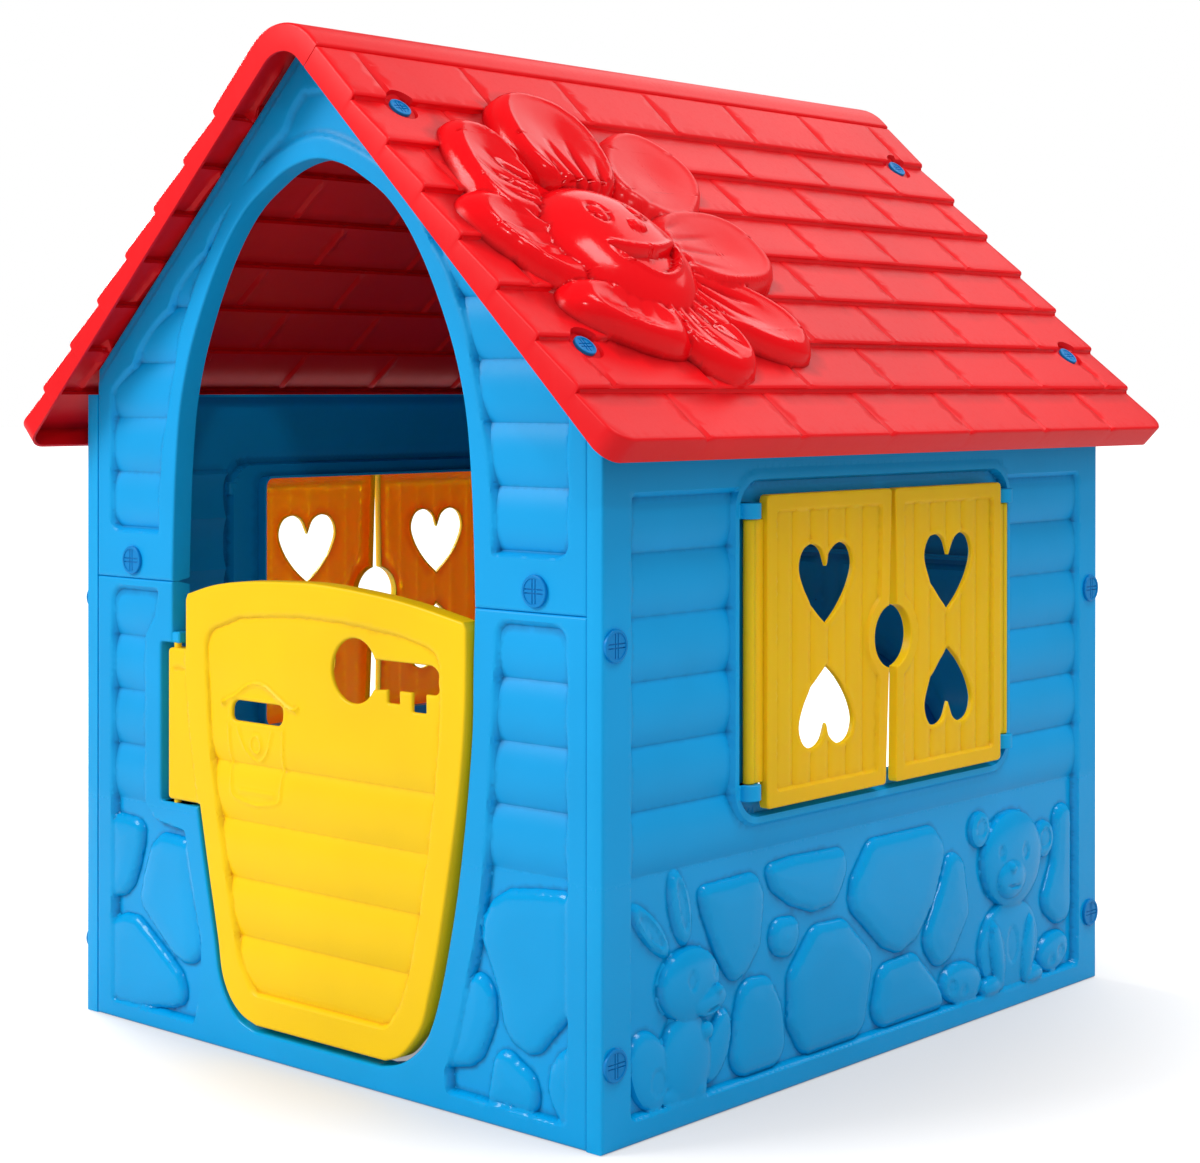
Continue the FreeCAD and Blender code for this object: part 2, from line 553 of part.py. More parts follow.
def shutter():
    """Leaf hinged at negative u, in the side wall's frame."""
    near, far = -LEAF_START, -LEAF_GAP
    edge = outline([(near, LEAF_LOW, 4), (far, LEAF_LOW, 4), (far, LEAF_HIGH, 4), (near, LEAF_HIGH, 4)])
    inner = outline([(near + 15, LEAF_LOW + 15, 3), (far - 15, LEAF_LOW + 15, 3), (far - 15, LEAF_HIGH - 15, 3),
                     (near + 15, LEAF_HIGH - 15, 3)])
    frame = slab(edge, LEAF_FRONT, LEAF_BACK).cut(slab(inner, LEAF_FRONT - 1, LEAF_BACK + 1))
    sheet = slab(edge, LEAF_FRONT + 3, LEAF_FRONT + 6.5)
    parts = [frame, sheet, bore(0, PORT_Z, LEAF_FRONT, LEAF_BACK, PORT_R + 12)]
    for i in range(1, 6):
        u = near + 15 + i * (far - near - 30) / 6.0
        parts.append(box(u - 1.2, u + 1.2, LEAF_FRONT + 2, LEAF_FRONT + 4, LEAF_LOW + 12, LEAF_HIGH - 12))
    parts.append(box(-SHUTTER_AXIS_U, near + 1, SHUTTER_AXIS_D - 6, SHUTTER_AXIS_D + 5, KNUCKLE_LOW, KNUCKLE_HIGH))
    parts.append(rod(-SHUTTER_AXIS_U, SHUTTER_AXIS_D, KNUCKLE_LOW, KNUCKLE_HIGH, 6))
    leaf = joined(parts)
    pins = rod(-SHUTTER_AXIS_U, SHUTTER_AXIS_D, KNUCKLE_LOW - 7.5, KNUCKLE_HIGH + 7.5, PIN_R)
    leaf = joined([leaf, pins])
    mid = (near + far) / 2
    cuts = [bore(0, PORT_Z, -30, 30, PORT_R), box(far, 60, -30, 30, 200, 700)]
    cuts.append(slab(heart(mid - 4, 499, 92, 82, 1), -30, 30))
    cuts.append(slab(heart(mid - 4, 377, 92, 82, -1), -30, 30))
    return leaf.cut(cuts)


# ---------------------------------------------------------------- door
def door():
    top = [(-204, 476), (-163, 487), (-115, 493.5), (-45, 497), (4, 497.5), (88, 491.5), (144, 484.5), (210, 472.5)]
    right = [(214.5, 468), (214.5, 430), (212.5, 374), (206.5, 318), (197.5, 262), (187, 206), (175.5, 150),
             (164.5, 108), (154.5, 77), (138, 55), (122, 41), (102, 34)]
    left = [(-92, 34), (-114, 41), (-131, 54), (-145, 77), (-153, 116), (-170, 192), (-183, TAB_LOW)]
    tab = [(-183, TAB_LOW), (-239, TAB_LOW), (-239, TAB_HIGH), (-207, TAB_HIGH), (-207, 472)]
    edge = path(smooth(top), smooth(right, (0, -1), (-1, 0)), smooth(left, (-1, 0)), corners(tab))
    body = slab(edge, DOOR_FRONT, DOOR_BACK).cut(slab(grown(edge, -SKIN), DOOR_FRONT + SKIN, DOOR_BACK + 1))
    field = outline([(-176, 440, 22), (-120, 462), (-40, 466), (40, 465), (120, 458), (178, 446, 22), (180, 374),
                     (172, 300), (158, 220), (140, 140), (124, 88), (104, 64, 12), (-96, 64, 12), (-118, 96),
                     (-132, 150), (-150, 230), (-172, 330)])
    sheet = siding(crest=-2.5, groove=0.5, skin=3.5, low=3.0)
    body = recess(body, field, sheet, depth=4.0, wall=3.5, face=DOOR_FRONT)
    box_line = outline([(-144, 372, 6), (-52, 372, 6), (-52, 268, 14), (-144, 268, 14)])
    letterbox = slab(box_line, -3.4, 2).cut(slab(grown(box_line, -2.5), -6, 3))
    canopy = [(-154, 371), (-130, 372), (-98, 389), (-66, 372), (-42, 371)]
    hood = path(smooth(canopy), smooth([(u, z - 3.0) for u, z in reversed(canopy)]))
    parts = [body, letterbox, slab(hood, -4.4, 2), bore(-98, 326, -3.6, 2, 8)]
    # solid hinge post behind the tab, with its pins
    parts.append(box(-239, -222, DOOR_FRONT, DOOR_BACK, TAB_LOW, TAB_HIGH))
    parts.append(rod(DOOR_AXIS_U, DOOR_AXIS_D, TAB_LOW - 8, TAB_HIGH + 8, PIN_R))
    leaf = joined(parts)
    # key-shaped window and letter slot
    bow, shaft = bore(55, 413.5, -20, 40, 32.5), slab(outline([(80, 399), (176, 399, 13.5), (176, 427, 13.5), (80, 427)]),
                                                    -20, 40)
    teeth = [box(104, 120.5, -20, 40, 386, 405), box(139, 157.5, -20, 40, 380, 405)]
    return leaf.cut([bow, shaft, box(*COLLAR_U, -20, 40, *COLLAR_Z)] + teeth)


def letter_collar():
    """Block round the letter slot, set in the door."""
    (u0, u1), (z0, z1) = COLLAR_U, COLLAR_Z
    slot = slab(outline([(u0 + 12, z0 + 9, 10.5), (u1 - 12, z0 + 9, 10.5), (u1 - 12, z1 - 9, 10.5),
                         (u0 + 12, z1 - 9, 10.5)]), -20, 40)
    return box(u0, u1, DOOR_FRONT + 0.4, DOOR_BACK, z0, z1).cut(slot)


# ---------------------------------------------------------------- roof
def on_slope(side, s, n):
    """Point at distance s down the slope from the crest line and n above the crest plane."""
    return V(side * (s * math.cos(slope) + n * math.sin(slope)), 0,
             RIDGE_Z - s * math.sin(slope) + n * math.cos(slope))


def roof_prism(points, y0, y1):
    w = Part.makePolygon(points + [points[0]])
    f = Part.Face(w)
    f.translate(V(0, y0, 0))
    return f.extrude(V(0, y1 - y0, 0))


steps = [roof_len - COURSE * k for k in range(COURSES - 1, -1, -1)]   # lower edges of the courses
tuck = steps[0] - 80.0                                                # where the first course starts


def tile_face(side, start):
    pts = [start]
    for k, s in enumerate(steps):
        pts += [on_slope(side, s, 0), on_slope(side, s, -STEP)]
    return pts[:-1]


def tile_back(side, start):
    pts = [start]
    for s in steps[:-1]:
        pts += [on_slope(side, s - SKIN, -SKIN), on_slope(side, s - SKIN, -STEP - SKIN)]
    return pts + [on_slope(side, steps[-1] - SKIN, -SKIN)]


def fascia(side, top_points, y):
    """Turned-down rim at one end of a roof panel."""
    low = [on_slope(side, roof_len, -FASCIA), on_slope(side, tuck + 2, -FASCIA)]
    return roof_prism(top_points + low, *y)


def slope_grooves(side):
    """Upright joints between tiles, staggered course by course."""
    cuts, u = [], 147.0
    for k, s in enumerate(steps):
        start = (steps[k - 1] if k else tuck) + 1.5
        offsets = [i * u for i in range(-3, 4)] if k % 2 == 0 else [(i + 0.5) * u for i in range(-3, 3)]
        for y in offsets:
            a, b = on_slope(side, start + (18 if k == 0 else 0), -1.6 - STEP + STEP * 0.12), on_slope(side, s + 1, -1.6)
            c, d = on_slope(side, s + 1, 2), on_slope(side, start + (18 if k == 0 else 0), 2)
            cuts.append(roof_prism([a, b, c, d], y - 2.2, y + 2.2))
    return cuts


def flower(side, hollow=False):
    """Plain flower standing on the tiles, or the hollow under it."""
    parts = []
    thin = SKIN if hollow else 0.0
    normal = V(side * math.sin(slope), 0, math.cos(slope))

    def disc(y, s, a, b, turn, high):
        e = Part.Ellipse(V(0, 0, 0), a - thin, b - thin)
        f = Part.Face(Part.Wire([e.toShape()]))
        f.rotate(V(0, 0, 0), V(0, 0, 1), turn)
        f.rotate(V(0, 0, 0), V(0, 1, 0), side * math.degrees(slope))
        start = -STEP - (SKIN + 1 if hollow else 2)
        f.translate(on_slope(side, s, start) + V(0, y, 0))
        return f.extrude(normal * (high - thin - start))
    centre_y, centre_s = FLOWER
    for i in range(PETALS):
        t = math.radians(i * 360.0 / PETALS)
        y, s = centre_y + PETAL_AT * math.cos(t), centre_s + PETAL_AT * math.sin(t)
        parts.append(disc(y, s, PETAL_LONG, PETAL_WIDE, math.degrees(-t * side) + 90 * (1 + side), 12))
    parts.append(disc(centre_y, centre_s, FLOWER_FACE, FLOWER_FACE - 1e-3, 0, 24))
    return parts


def roof_common(side, panel):
    normal = V(side * math.sin(slope), 0, math.cos(slope))
    cuts = slope_grooves(side)
    for y in (-ROOF_SCREW_Y, ROOF_SCREW_Y):
        for s in ROOF_SCREW_S:
            seat = on_slope(side, s, -STEP - 1.5) + V(0, y, 0)
            cuts.append(Part.makeCylinder(17, 30, seat, normal))
            cuts.append(Part.makeCylinder(SHANK + 0.5, 20, seat + normal * -8, normal))
    return panel.cut(cuts)


def seat_pads(side):
    """Thickened seats under the roof screws, level with the underside."""
    normal = V(side * math.sin(slope), 0, math.cos(slope))
    out = []
    for y in (-ROOF_SCREW_Y, ROOF_SCREW_Y):
        for s in ROOF_SCREW_S:
            out.append(Part.makeCylinder(20, 3.9, on_slope(side, s, -STEP - SKIN) + V(0, y, 0), normal))
    return out


def roof_right():
    side, y0, y1 = 1, -ROOF_HALF, ROOF_HALF
    top = tile_face(side, on_slope(side, tuck + 4, -2))
    lap = [on_slope(side, tuck - 24, -8.2), on_slope(side, tuck + 1, -7.0)]
    under = [on_slope(side, tuck - 24, -11), on_slope(side, tuck + 3, -11)]
    back = tile_back(side, on_slope(side, tuck + 8, -6))
    shell = roof_prism(lap + top + [on_slope(side, roof_len, -6)] + [on_slope(side, roof_len - SKIN, -6)]
                       + list(reversed(back)) + list(reversed(under)), y0, y1)
    eave = roof_prism([on_slope(side, roof_len, -1), on_slope(side, roof_len, -FASCIA),
                       on_slope(side, roof_len - SKIN, -FASCIA), on_slope(side, roof_len - SKIN, -3)], y0, y1)
    ends = [fascia(side, top, (y0, y0 + SKIN)), fascia(side, top, (y1 - SKIN, y1))]
    panel = joined([shell, eave] + ends + seat_pads(side) + flower(side))
    rim = [on_slope(side, tuck - 40, 10), on_slope(side, tuck + 3.5, 10), on_slope(side, tuck + 3.5, -40),
           on_slope(side, tuck - 40, -40)]
    panel = panel.cut([roof_prism(rim, y0 - 1, y0 + SKIN + GAP), roof_prism(rim, y1 - SKIN - GAP, y1 + 1)])
    return roof_common(side, panel.cut(flower(side, True)))


def roof_left():
    side, y0, y1 = -1, -ROOF_HALF, ROOF_HALF
    centre = V(0, 0, CAP_TOP - CAP_R)

    def cap_point(r, degrees):
        t = math.radians(degrees)
        return centre + V(r * math.sin(t), 0, r * math.cos(t))
    turn = math.degrees(slope)
    arc_out = [cap_point(CAP_R, a * turn / 12.0) for a in range(-12, 13)]
    arc_in = [cap_point(CAP_R - SKIN, a * turn / 12.0) for a in range(-12, 13)]
    top = tile_face(side, on_slope(side, tuck + 4, -2))
    back = tile_back(side, on_slope(side, tuck + 8, -6))
    shell = roof_prism([on_slope(side, tuck, -6)] + top + [on_slope(side, roof_len, -6)]
                       + [on_slope(side, roof_len - SKIN, -6)] + list(reversed(back)) + [on_slope(side, tuck, -10)],
                       y0, y1)
    out_arc = Part.Arc(arc_out[0], arc_out[12], arc_out[24]).toShape()
    in_arc = Part.Arc(arc_in[24], arc_in[12], arc_in[0]).toShape()
    cap_face = Part.Face(Part.Wire([out_arc, Part.makeLine(arc_out[24], arc_in[24]), in_arc,
                                    Part.makeLine(arc_in[0], arc_out[0])]))
    cap_face.translate(V(0, y0, 0))
    cap = cap_face.extrude(V(0, y1 - y0, 0))
    heel = roof_prism([arc_out[0], on_slope(side, tuck + 0.5, -1), on_slope(side, tuck + 0.5, -10), arc_in[0],
                       arc_in[2], arc_out[2]], y0, y1)
    eave = roof_prism([on_slope(side, roof_len, -1), on_slope(side, roof_len, -FASCIA),
                       on_slope(side, roof_len - SKIN, -FASCIA), on_slope(side, roof_len - SKIN, -3)], y0, y1)
    low = RIDGE_Z - FASCIA / math.cos(slope)
    parts = [shell, cap, heel, eave] + seat_pads(side)
    for y in ((y0, y0 + SKIN), (y1 - SKIN, y1)):
        parts.append(fascia(side, top, y))
        under_cap = [on_slope(side, tuck + 3, -FASCIA), on_slope(side, tuck + 3, -4)] + arc_out[1:]
        parts.append(roof_prism(under_cap + [on_slope(1, tuck - 1, -FASCIA), V(0, 0, low)], *y))
    return roof_common(side, joined(parts))


# ---------------------------------------------------------------- screws
def screw(head_r):
    """Domed-rim screw with a crossed slot, head outwards along -Y, seat at depth 0."""
    head = Part.makeCylinder(head_r, HEAD_H, V(0, -HEAD_H, 0), V(0, 1, 0))
    rim = [e for e in head.Edges if e.BoundBox.YMax < -HEAD_H + 0.01]
    head = head.makeFillet(1.2, rim)
    head = head.cut(Part.makeCylinder(head_r - 3, 1, V(0, -HEAD_H - 0.3, 0), V(0, 1, 0)))
    bar = head_r - 4
    for turn in (0, 90):
        for off in (-1.9, 1.9):
            slot = box(-bar, bar, -HEAD_H, -HEAD_H + 1.8, off - 0.6, off + 0.6)
            slot.rotate(V(0, 0, 0), V(0, 1, 0), turn)
            head = head.cut(slot)
    shank = Part.makeCylinder(SHANK, 20, V(0, -0.5, 0), V(0, 1, 0))
    tip = Part.makeCone(SHANK, SHANK - 1.5, 3, V(0, 19.5, 0), V(0, 1, 0))
    return joined([head, shank, tip])


def roof_screw(side, y, s):
    k = screw(ROOF_HEAD)
    k.rotate(V(0, 0, 0), V(1, 0, 0), -90)      # head now points up
    k.rotate(V(0, 0, 0), V(0, 1, 0), side * math.degrees(slope))
    k.translate(on_slope(side, s, -STEP - 1.5 + 0.001) + V(0, y, 0))
    return k


# ---------------------------------------------------------------- the parts
save("front_wall_upper", at_front(end_wall_upper(True)))
save("front_wall_lower", at_front(end_wall_lower(True)))
save("back_wall_upper", at_back(end_wall_upper(False)))
save("back_wall_lower", at_back(end_wall_lower(False)))

right_wall = at_right(side_wall())
save("side_wall_right", right_wall)
save("side_wall_left", mirrored_x(right_wall))

leaf = at_right(shutter())
save("shutter_right_front", leaf)
save("shutter_right_rear", mirrored_y(leaf))
save("shutter_left_front", mirrored_x(leaf))
save("shutter_left_rear", mirrored_x(mirrored_y(leaf)))

save("door", at_front(door()))
save("door_letter_collar", at_front(letter_collar()))
save("roof_panel_right", roof_right())
save("roof_panel_left", roof_left())

for end, place in (("front", at_front), ("back", at_back)):
    for name, s in (("left", -1), ("right", 1)):
        k = screw(BIG_HEAD)
        k.translate(V(s * SEAM_SCREW[0] * (1 if end == "front" else -1), 0, SEAM_SCREW[1]))
        save("screw_seam_%s_%s" % (end, name), place(k))

for end, y in (("front", -1), ("back", 1)):
    for level, z in zip(("low", "high"), CORNER_SCREW_Z):
        k = screw(BIG_HEAD)
        k.translate(V(y * (LENGTH / 2 - CORNER_SCREW_IN), 0, z))
        k = at_right(k)
        save("screw_corner_%s_right_%s" % (end, level), k)
        save("screw_corner_%s_left_%s" % (end, level), mirrored_x(k))
    for level, s in zip(("high", "low"), ROOF_SCREW_S):
        for name, side in (("right", 1), ("left", -1)):
            save("screw_roof_%s_%s_%s" % (end, name, level), roof_screw(side, y * ROOF_SCREW_Y, s))
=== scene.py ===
import math

import bpy
import numpy as np
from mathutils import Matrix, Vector
from mathutils.geometry import delaunay_2d_cdt


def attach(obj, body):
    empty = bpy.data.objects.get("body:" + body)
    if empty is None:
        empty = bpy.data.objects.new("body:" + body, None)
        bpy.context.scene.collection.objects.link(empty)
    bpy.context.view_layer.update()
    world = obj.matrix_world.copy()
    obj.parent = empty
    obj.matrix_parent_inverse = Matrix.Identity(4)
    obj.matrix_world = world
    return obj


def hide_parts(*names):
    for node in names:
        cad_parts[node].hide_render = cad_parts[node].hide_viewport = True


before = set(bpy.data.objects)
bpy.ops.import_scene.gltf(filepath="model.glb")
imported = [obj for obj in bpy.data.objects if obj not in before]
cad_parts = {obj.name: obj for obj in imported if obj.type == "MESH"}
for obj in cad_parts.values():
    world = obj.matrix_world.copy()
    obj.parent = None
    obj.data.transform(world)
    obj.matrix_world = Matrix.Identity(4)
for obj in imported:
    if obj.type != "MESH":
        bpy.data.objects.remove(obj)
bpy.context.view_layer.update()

COARSER = 1.0       # grid spacing while trying things
SHARP_EDGE = 35.0                     # degrees between faces from which an edge is drawn sharp

# Moulded plastic playhouse. Every panel is drawn as a relief in its own plane, in millimetres:
# u along the panel, v up it (or down the roof slope), and depth inwards from the outer face.

# ---------------------------------------------------------------- dimensions shared with the frame
WIDTH, LENGTH, SKIN, REVEAL, LIP = 770.0, 883.0, 3.0, 24.0, 19.0
SIDE_TOP, SEAM_Z, STONE_TOP = 688.0, 487.0, 243.0
RIDGE_Z, ROOF_HALF, ROOF_SEAT = 1086.0, 491.0, 11.3
CAP_TOP, CAP_R, FASCIA, STEP, COURSE = 1060.0, 66.0, 28.5, 7.0, 68.0
SLOPE = math.atan2(436.0, 450.0)
ROOF_LEN = math.hypot(436.0, 450.0)
STEPS = [ROOF_LEN - COURSE * k for k in range(7, -1, -1)]
TUCK = STEPS[0] - 73.0
CAP_END = (RIDGE_Z - CAP_TOP + CAP_R) * math.sin(SLOPE)      # where the round ridge meets the slopes
CAP_LIP = 11.0
ROOF_SCREWS = [(y, s) for y in (-430.0, 430.0) for s in (157.0, 498.0)]
LOG, LOG_BASE, CREST, GROOVE = 60.0, 3.0, 3.0, 9.0
STONE_RIM = (0.0, 1.2, 4.0)            # mesh lines inside a stone's outline
PLATE = WIDTH / 2 - LIP - 0.3
SHUTTER_AXIS_U, SHUTTER_AXIS_D = 229.0, -2.0
DOOR_AXIS_U, DOOR_AXIS_D = -231.0, 6.0
PORT_V, PORT_R = 438.0, 33.0           # round port between the two leaves of a window


# ---------------------------------------------------------------- outlines
def unit(v):
    return v / np.maximum(np.linalg.norm(v, axis=-1, keepdims=True), 1e-9)


def stroke(a, b, step=4.0):
    """Open mesh line between two points."""
    return run([a, b], step), False


def inset_lines(loops, distances=(0, 2.7, 5.5)):
    """Closed mesh lines at these distances inside each loop."""
    return [(shifted(turned(loop), distance), True) for loop in loops for distance in distances]


def closed(points, step=4.0):
    """Closed loop with its long sides divided."""
    points, out = np.asarray(points, float), []
    for a, b in zip(points, np.roll(points, -1, 0)):
        k = max(1, int(round(np.linalg.norm(b - a) / step)))
        out += [a + (b - a) * t / k for t in range(k)]
    return np.array(out)


def run(points, step=4.0):
    """Open line with its long sides divided."""
    points, out = np.asarray(points, float), []
    for a, b in zip(points[:-1], points[1:]):
        k = max(1, int(round(np.linalg.norm(b - a) / step)))
        out += [a + (b - a) * t / k for t in range(k)]
    return np.array(out + [points[-1]])


def rounded(corners, radius=0.0, step=4.0):
    """Closed loop through (u, v) or (u, v, radius) corners."""
    out, n = [], len(corners)
    for i, c in enumerate(corners):
        p = np.array(c[:2], float)
        before, after = np.array(corners[i - 1][:2], float), np.array(corners[(i + 1) % n][:2], float)
        r = c[2] if len(c) > 2 else radius
        a, b = unit(before - p), unit(after - p)
        half = math.acos(max(-1.0, min(1.0, float(a @ b)))) / 2
        if r <= 0 or half > 1.55:
            out.append(p)
            continue
        r = min(r, 0.48 * math.tan(half) * min(np.linalg.norm(before - p), np.linalg.norm(after - p)))
        centre = p + unit(a + b) * r / math.sin(half)
        v0, v1 = p + a * r / math.tan(half) - centre, p + b * r / math.tan(half) - centre
        turn = math.atan2(v0[0] * v1[1] - v0[1] * v1[0], float(v0 @ v1))
        k = max(2, int(r * abs(turn) / min(step, 3.0)))
        for t in range(k + 1):
            x, y = math.cos(turn * t / k), math.sin(turn * t / k)
            out.append(centre + np.array([x * v0[0] - y * v0[1], y * v0[0] + x * v0[1]]))
    return closed(out, step)


def curve(points, step=4.0):
    """Open smooth line through points."""
    p = np.asarray(points, float)
    ext = np.vstack([2 * p[0] - p[1], p, 2 * p[-1] - p[-2]])
    out = []
    for i in range(len(p) - 1):
        p0, p1, p2, p3 = ext[i:i + 4]
        t0, t1, t2 = (max(np.linalg.norm(b - a), 1e-6) ** 0.5 for a, b in ((p0, p1), (p1, p2), (p2, p3)))
        m1 = (p1 - p0) / t0 - (p2 - p0) / (t0 + t1) + (p2 - p1) / t1
        m2 = (p2 - p1) / t1 - (p3 - p1) / (t1 + t2) + (p3 - p2) / t2
        k = max(1, int(round(np.linalg.norm(p2 - p1) / step)))
        for j in range(k):
            t = j / k
            out.append((2 * t ** 3 - 3 * t ** 2 + 1) * p1 + (t ** 3 - 2 * t ** 2 + t) * t1 * m1
                       + (3 * t ** 2 - 2 * t ** 3) * p2 + (t ** 3 - t ** 2) * t1 * m2)
    return np.array(out + [p[-1]])


def listed(points):
    return [tuple(q) for q in points]


def ellipse(u, v, a, b, turn=0.0, step=3.0):
    n = max(12, int(math.pi * (a + b) / step))
    t = np.linspace(0, 2 * math.pi, n, endpoint=False)
    c, s = math.cos(math.radians(turn)), math.sin(math.radians(turn))
    x, y = a * np.cos(t), b * np.sin(t)
    return np.stack([u + c * x - s * y, v + s * x + c * y], 1)


def area(loop):
    x, y = loop[:, 0], loop[:, 1]
    return 0.5 * float(np.sum(x * np.roll(y, -1) - np.roll(x, -1) * y))


def turned(loop, way=1):
    """The loop, anticlockwise for way 1 and clockwise for way -1."""
    return loop if area(loop) * way > 0 else loop[::-1]


def shifted(loop, distance):
    """The loop moved to the left of its own direction."""
    a, b = unit(loop - np.roll(loop, 1, 0)), unit(np.roll(loop, -1, 0) - loop)
    na, nb = np.stack([-a[:, 1], a[:, 0]], 1), np.stack([-b[:, 1], b[:, 0]], 1)
    reach = np.maximum(1 + np.sum(na * nb, 1), 0.6)
    return loop + (na + nb) / reach[:, None] * distance


def crossings(points, loops):
    """True for the points inside an odd number of loops."""
    a = np.vstack(loops)
    b = np.vstack([np.roll(l, -1, 0) for l in loops])
    odd = np.zeros(len(points), bool)
    for i in range(0, len(points), 3000):
        p = points[i:i + 3000]
        y = p[:, 1:2]
        hit = (a[None, :, 1] > y) != (b[None, :, 1] > y)
        with np.errstate(divide="ignore", invalid="ignore"):
            x = a[None, :, 0] + (y - a[None, :, 1]) * (b[:, 0] - a[:, 0]) / (b[:, 1] - a[:, 1])
        odd[i:i + 3000] = (np.sum(hit & (p[:, 0:1] < x), 1) % 2) == 1
    return odd


def within(points, loop, reach=12.0):
    """Distance from the loop, positive inside, cut off at the reach."""
    out = np.full(len(points), -reach)
    low, high = loop.min(0) - reach, loop.max(0) + reach
    near = np.nonzero(np.all((points > low) & (points < high), 1))[0]
    a, ab = loop, np.roll(loop, -1, 0) - loop
    size = np.maximum(np.sum(ab * ab, 1), 1e-9)
    for i in range(0, len(near), 4000):
        k = near[i:i + 4000]
        ap = points[k][:, None] - a[None]
        t = np.clip(np.sum(ap * ab[None], 2) / size[None], 0, 1)
        gap = ap - t[:, :, None] * ab[None]
        out[k] = np.sqrt(np.min(np.sum(gap * gap, 2), 1)) * np.where(crossings(points[k], [loop]), 1, -1)
    return np.clip(out, -reach, reach)


def ease(t):
    t = np.clip(t, 0, 1)
    return t * t * (3 - 2 * t)


# ---------------------------------------------------------------- meshing
def fill(loops, lines, grids):
    """Triangles between closed loops (outer first), along the lines and over the grids.
    Returns the points, the triangles and each loop's point numbers."""
    pts, edges, starts, count = [], [], [], 0
    for l in loops:
        starts.append(count)
        pts.append(l)
        edges += [(count + i, count + (i + 1) % len(l)) for i in range(len(l))]
        count += len(l)
    rim_count = count
    low, high = loops[0].min(0), loops[0].max(0)
    size = np.ceil(high - low).astype(int) + 3
    taken = np.zeros(size, bool)

    def stamp(points, r):
        cell = np.round(points - low).astype(int) + 1
        k = int(math.ceil(r))
        for i in range(-k, k + 1):
            for j in range(-k, k + 1):
                if i * i + j * j <= r * r:
                    c = cell + (i, j)
                    ok = np.all((c >= 0) & (c < size), 1)
                    taken[c[ok, 0], c[ok, 1]] = True

    def is_taken(points):
        c = np.clip(np.round(points - low).astype(int) + 1, 0, size - 1)
        return taken[c[:, 0], c[:, 1]]
    for l in loops:
        stamp(l, 1.6)
    for line, joined in lines:
        ok = crossings(line, loops) & ~is_taken(line)
        n = len(line)
        number = np.full(n, -1)
        number[ok] = count + np.arange(int(ok.sum()))
        pts.append(line[ok])
        count += int(ok.sum())
        for i in range(n if joined else n - 1):
            a, b = number[i], number[(i + 1) % n]
            if a >= 0 and b >= 0:
                edges.append((int(a), int(b)))
    for line in pts[len(loops):]:
        if len(line):
            stamp(line, 1.5)
    for pitch, region in grids:
        pitch *= COARSER
        rows = np.arange(low[1] + pitch / 2, high[1], pitch * 0.866)
        found = []
        for k, v in enumerate(rows):
            u = np.arange(low[0] + pitch * (0.25 + 0.5 * (k % 2)), high[0], pitch)
            found.append(np.stack([u, np.full(len(u), v)], 1))
        g = np.vstack(found)
        g = g[~is_taken(g)]
        if region is not None:
            g = g[region(g)]
        g = g[crossings(g, loops)]
        stamp(g, pitch * 0.45)
        pts.append(g)
        count += len(g)
    flat = np.vstack([p for p in pts if len(p)])
    verts, _, faces, origin, _, _ = delaunay_2d_cdt([(float(a), float(b)) for a, b in flat], edges, [], 0,
                                                    1e-5, True)
    verts = np.array([(p[0], p[1]) for p in verts], float)
    faces = np.array(faces, int)
    new_number = np.full(len(flat), -1)
    on_rim = np.zeros(len(verts), bool)
    for i, olds in enumerate(origin):
        for o in olds:
            new_number[o] = i
            if o < rim_count:
                on_rim[i] = True
        if not olds:
            on_rim[i] = True
    doubt = np.nonzero(np.all(on_rim[faces], 1))[0]
    keep = np.ones(len(faces), bool)
    if len(doubt):
        keep[doubt] = crossings(verts[faces[doubt]].mean(1), loops)
    faces = faces[keep]
    a, b, c = verts[faces[:, 0]], verts[faces[:, 1]], verts[faces[:, 2]]
    way = (b[:, 0] - a[:, 0]) * (c[:, 1] - a[:, 1]) - (b[:, 1] - a[:, 1]) * (c[:, 0] - a[:, 0])
    faces[way < 0] = faces[way < 0][:, ::-1]
    faces = faces[np.abs(way) > 1e-7]
    return verts, faces, [new_number[s:s + len(l)] for s, l in zip(starts, loops)]


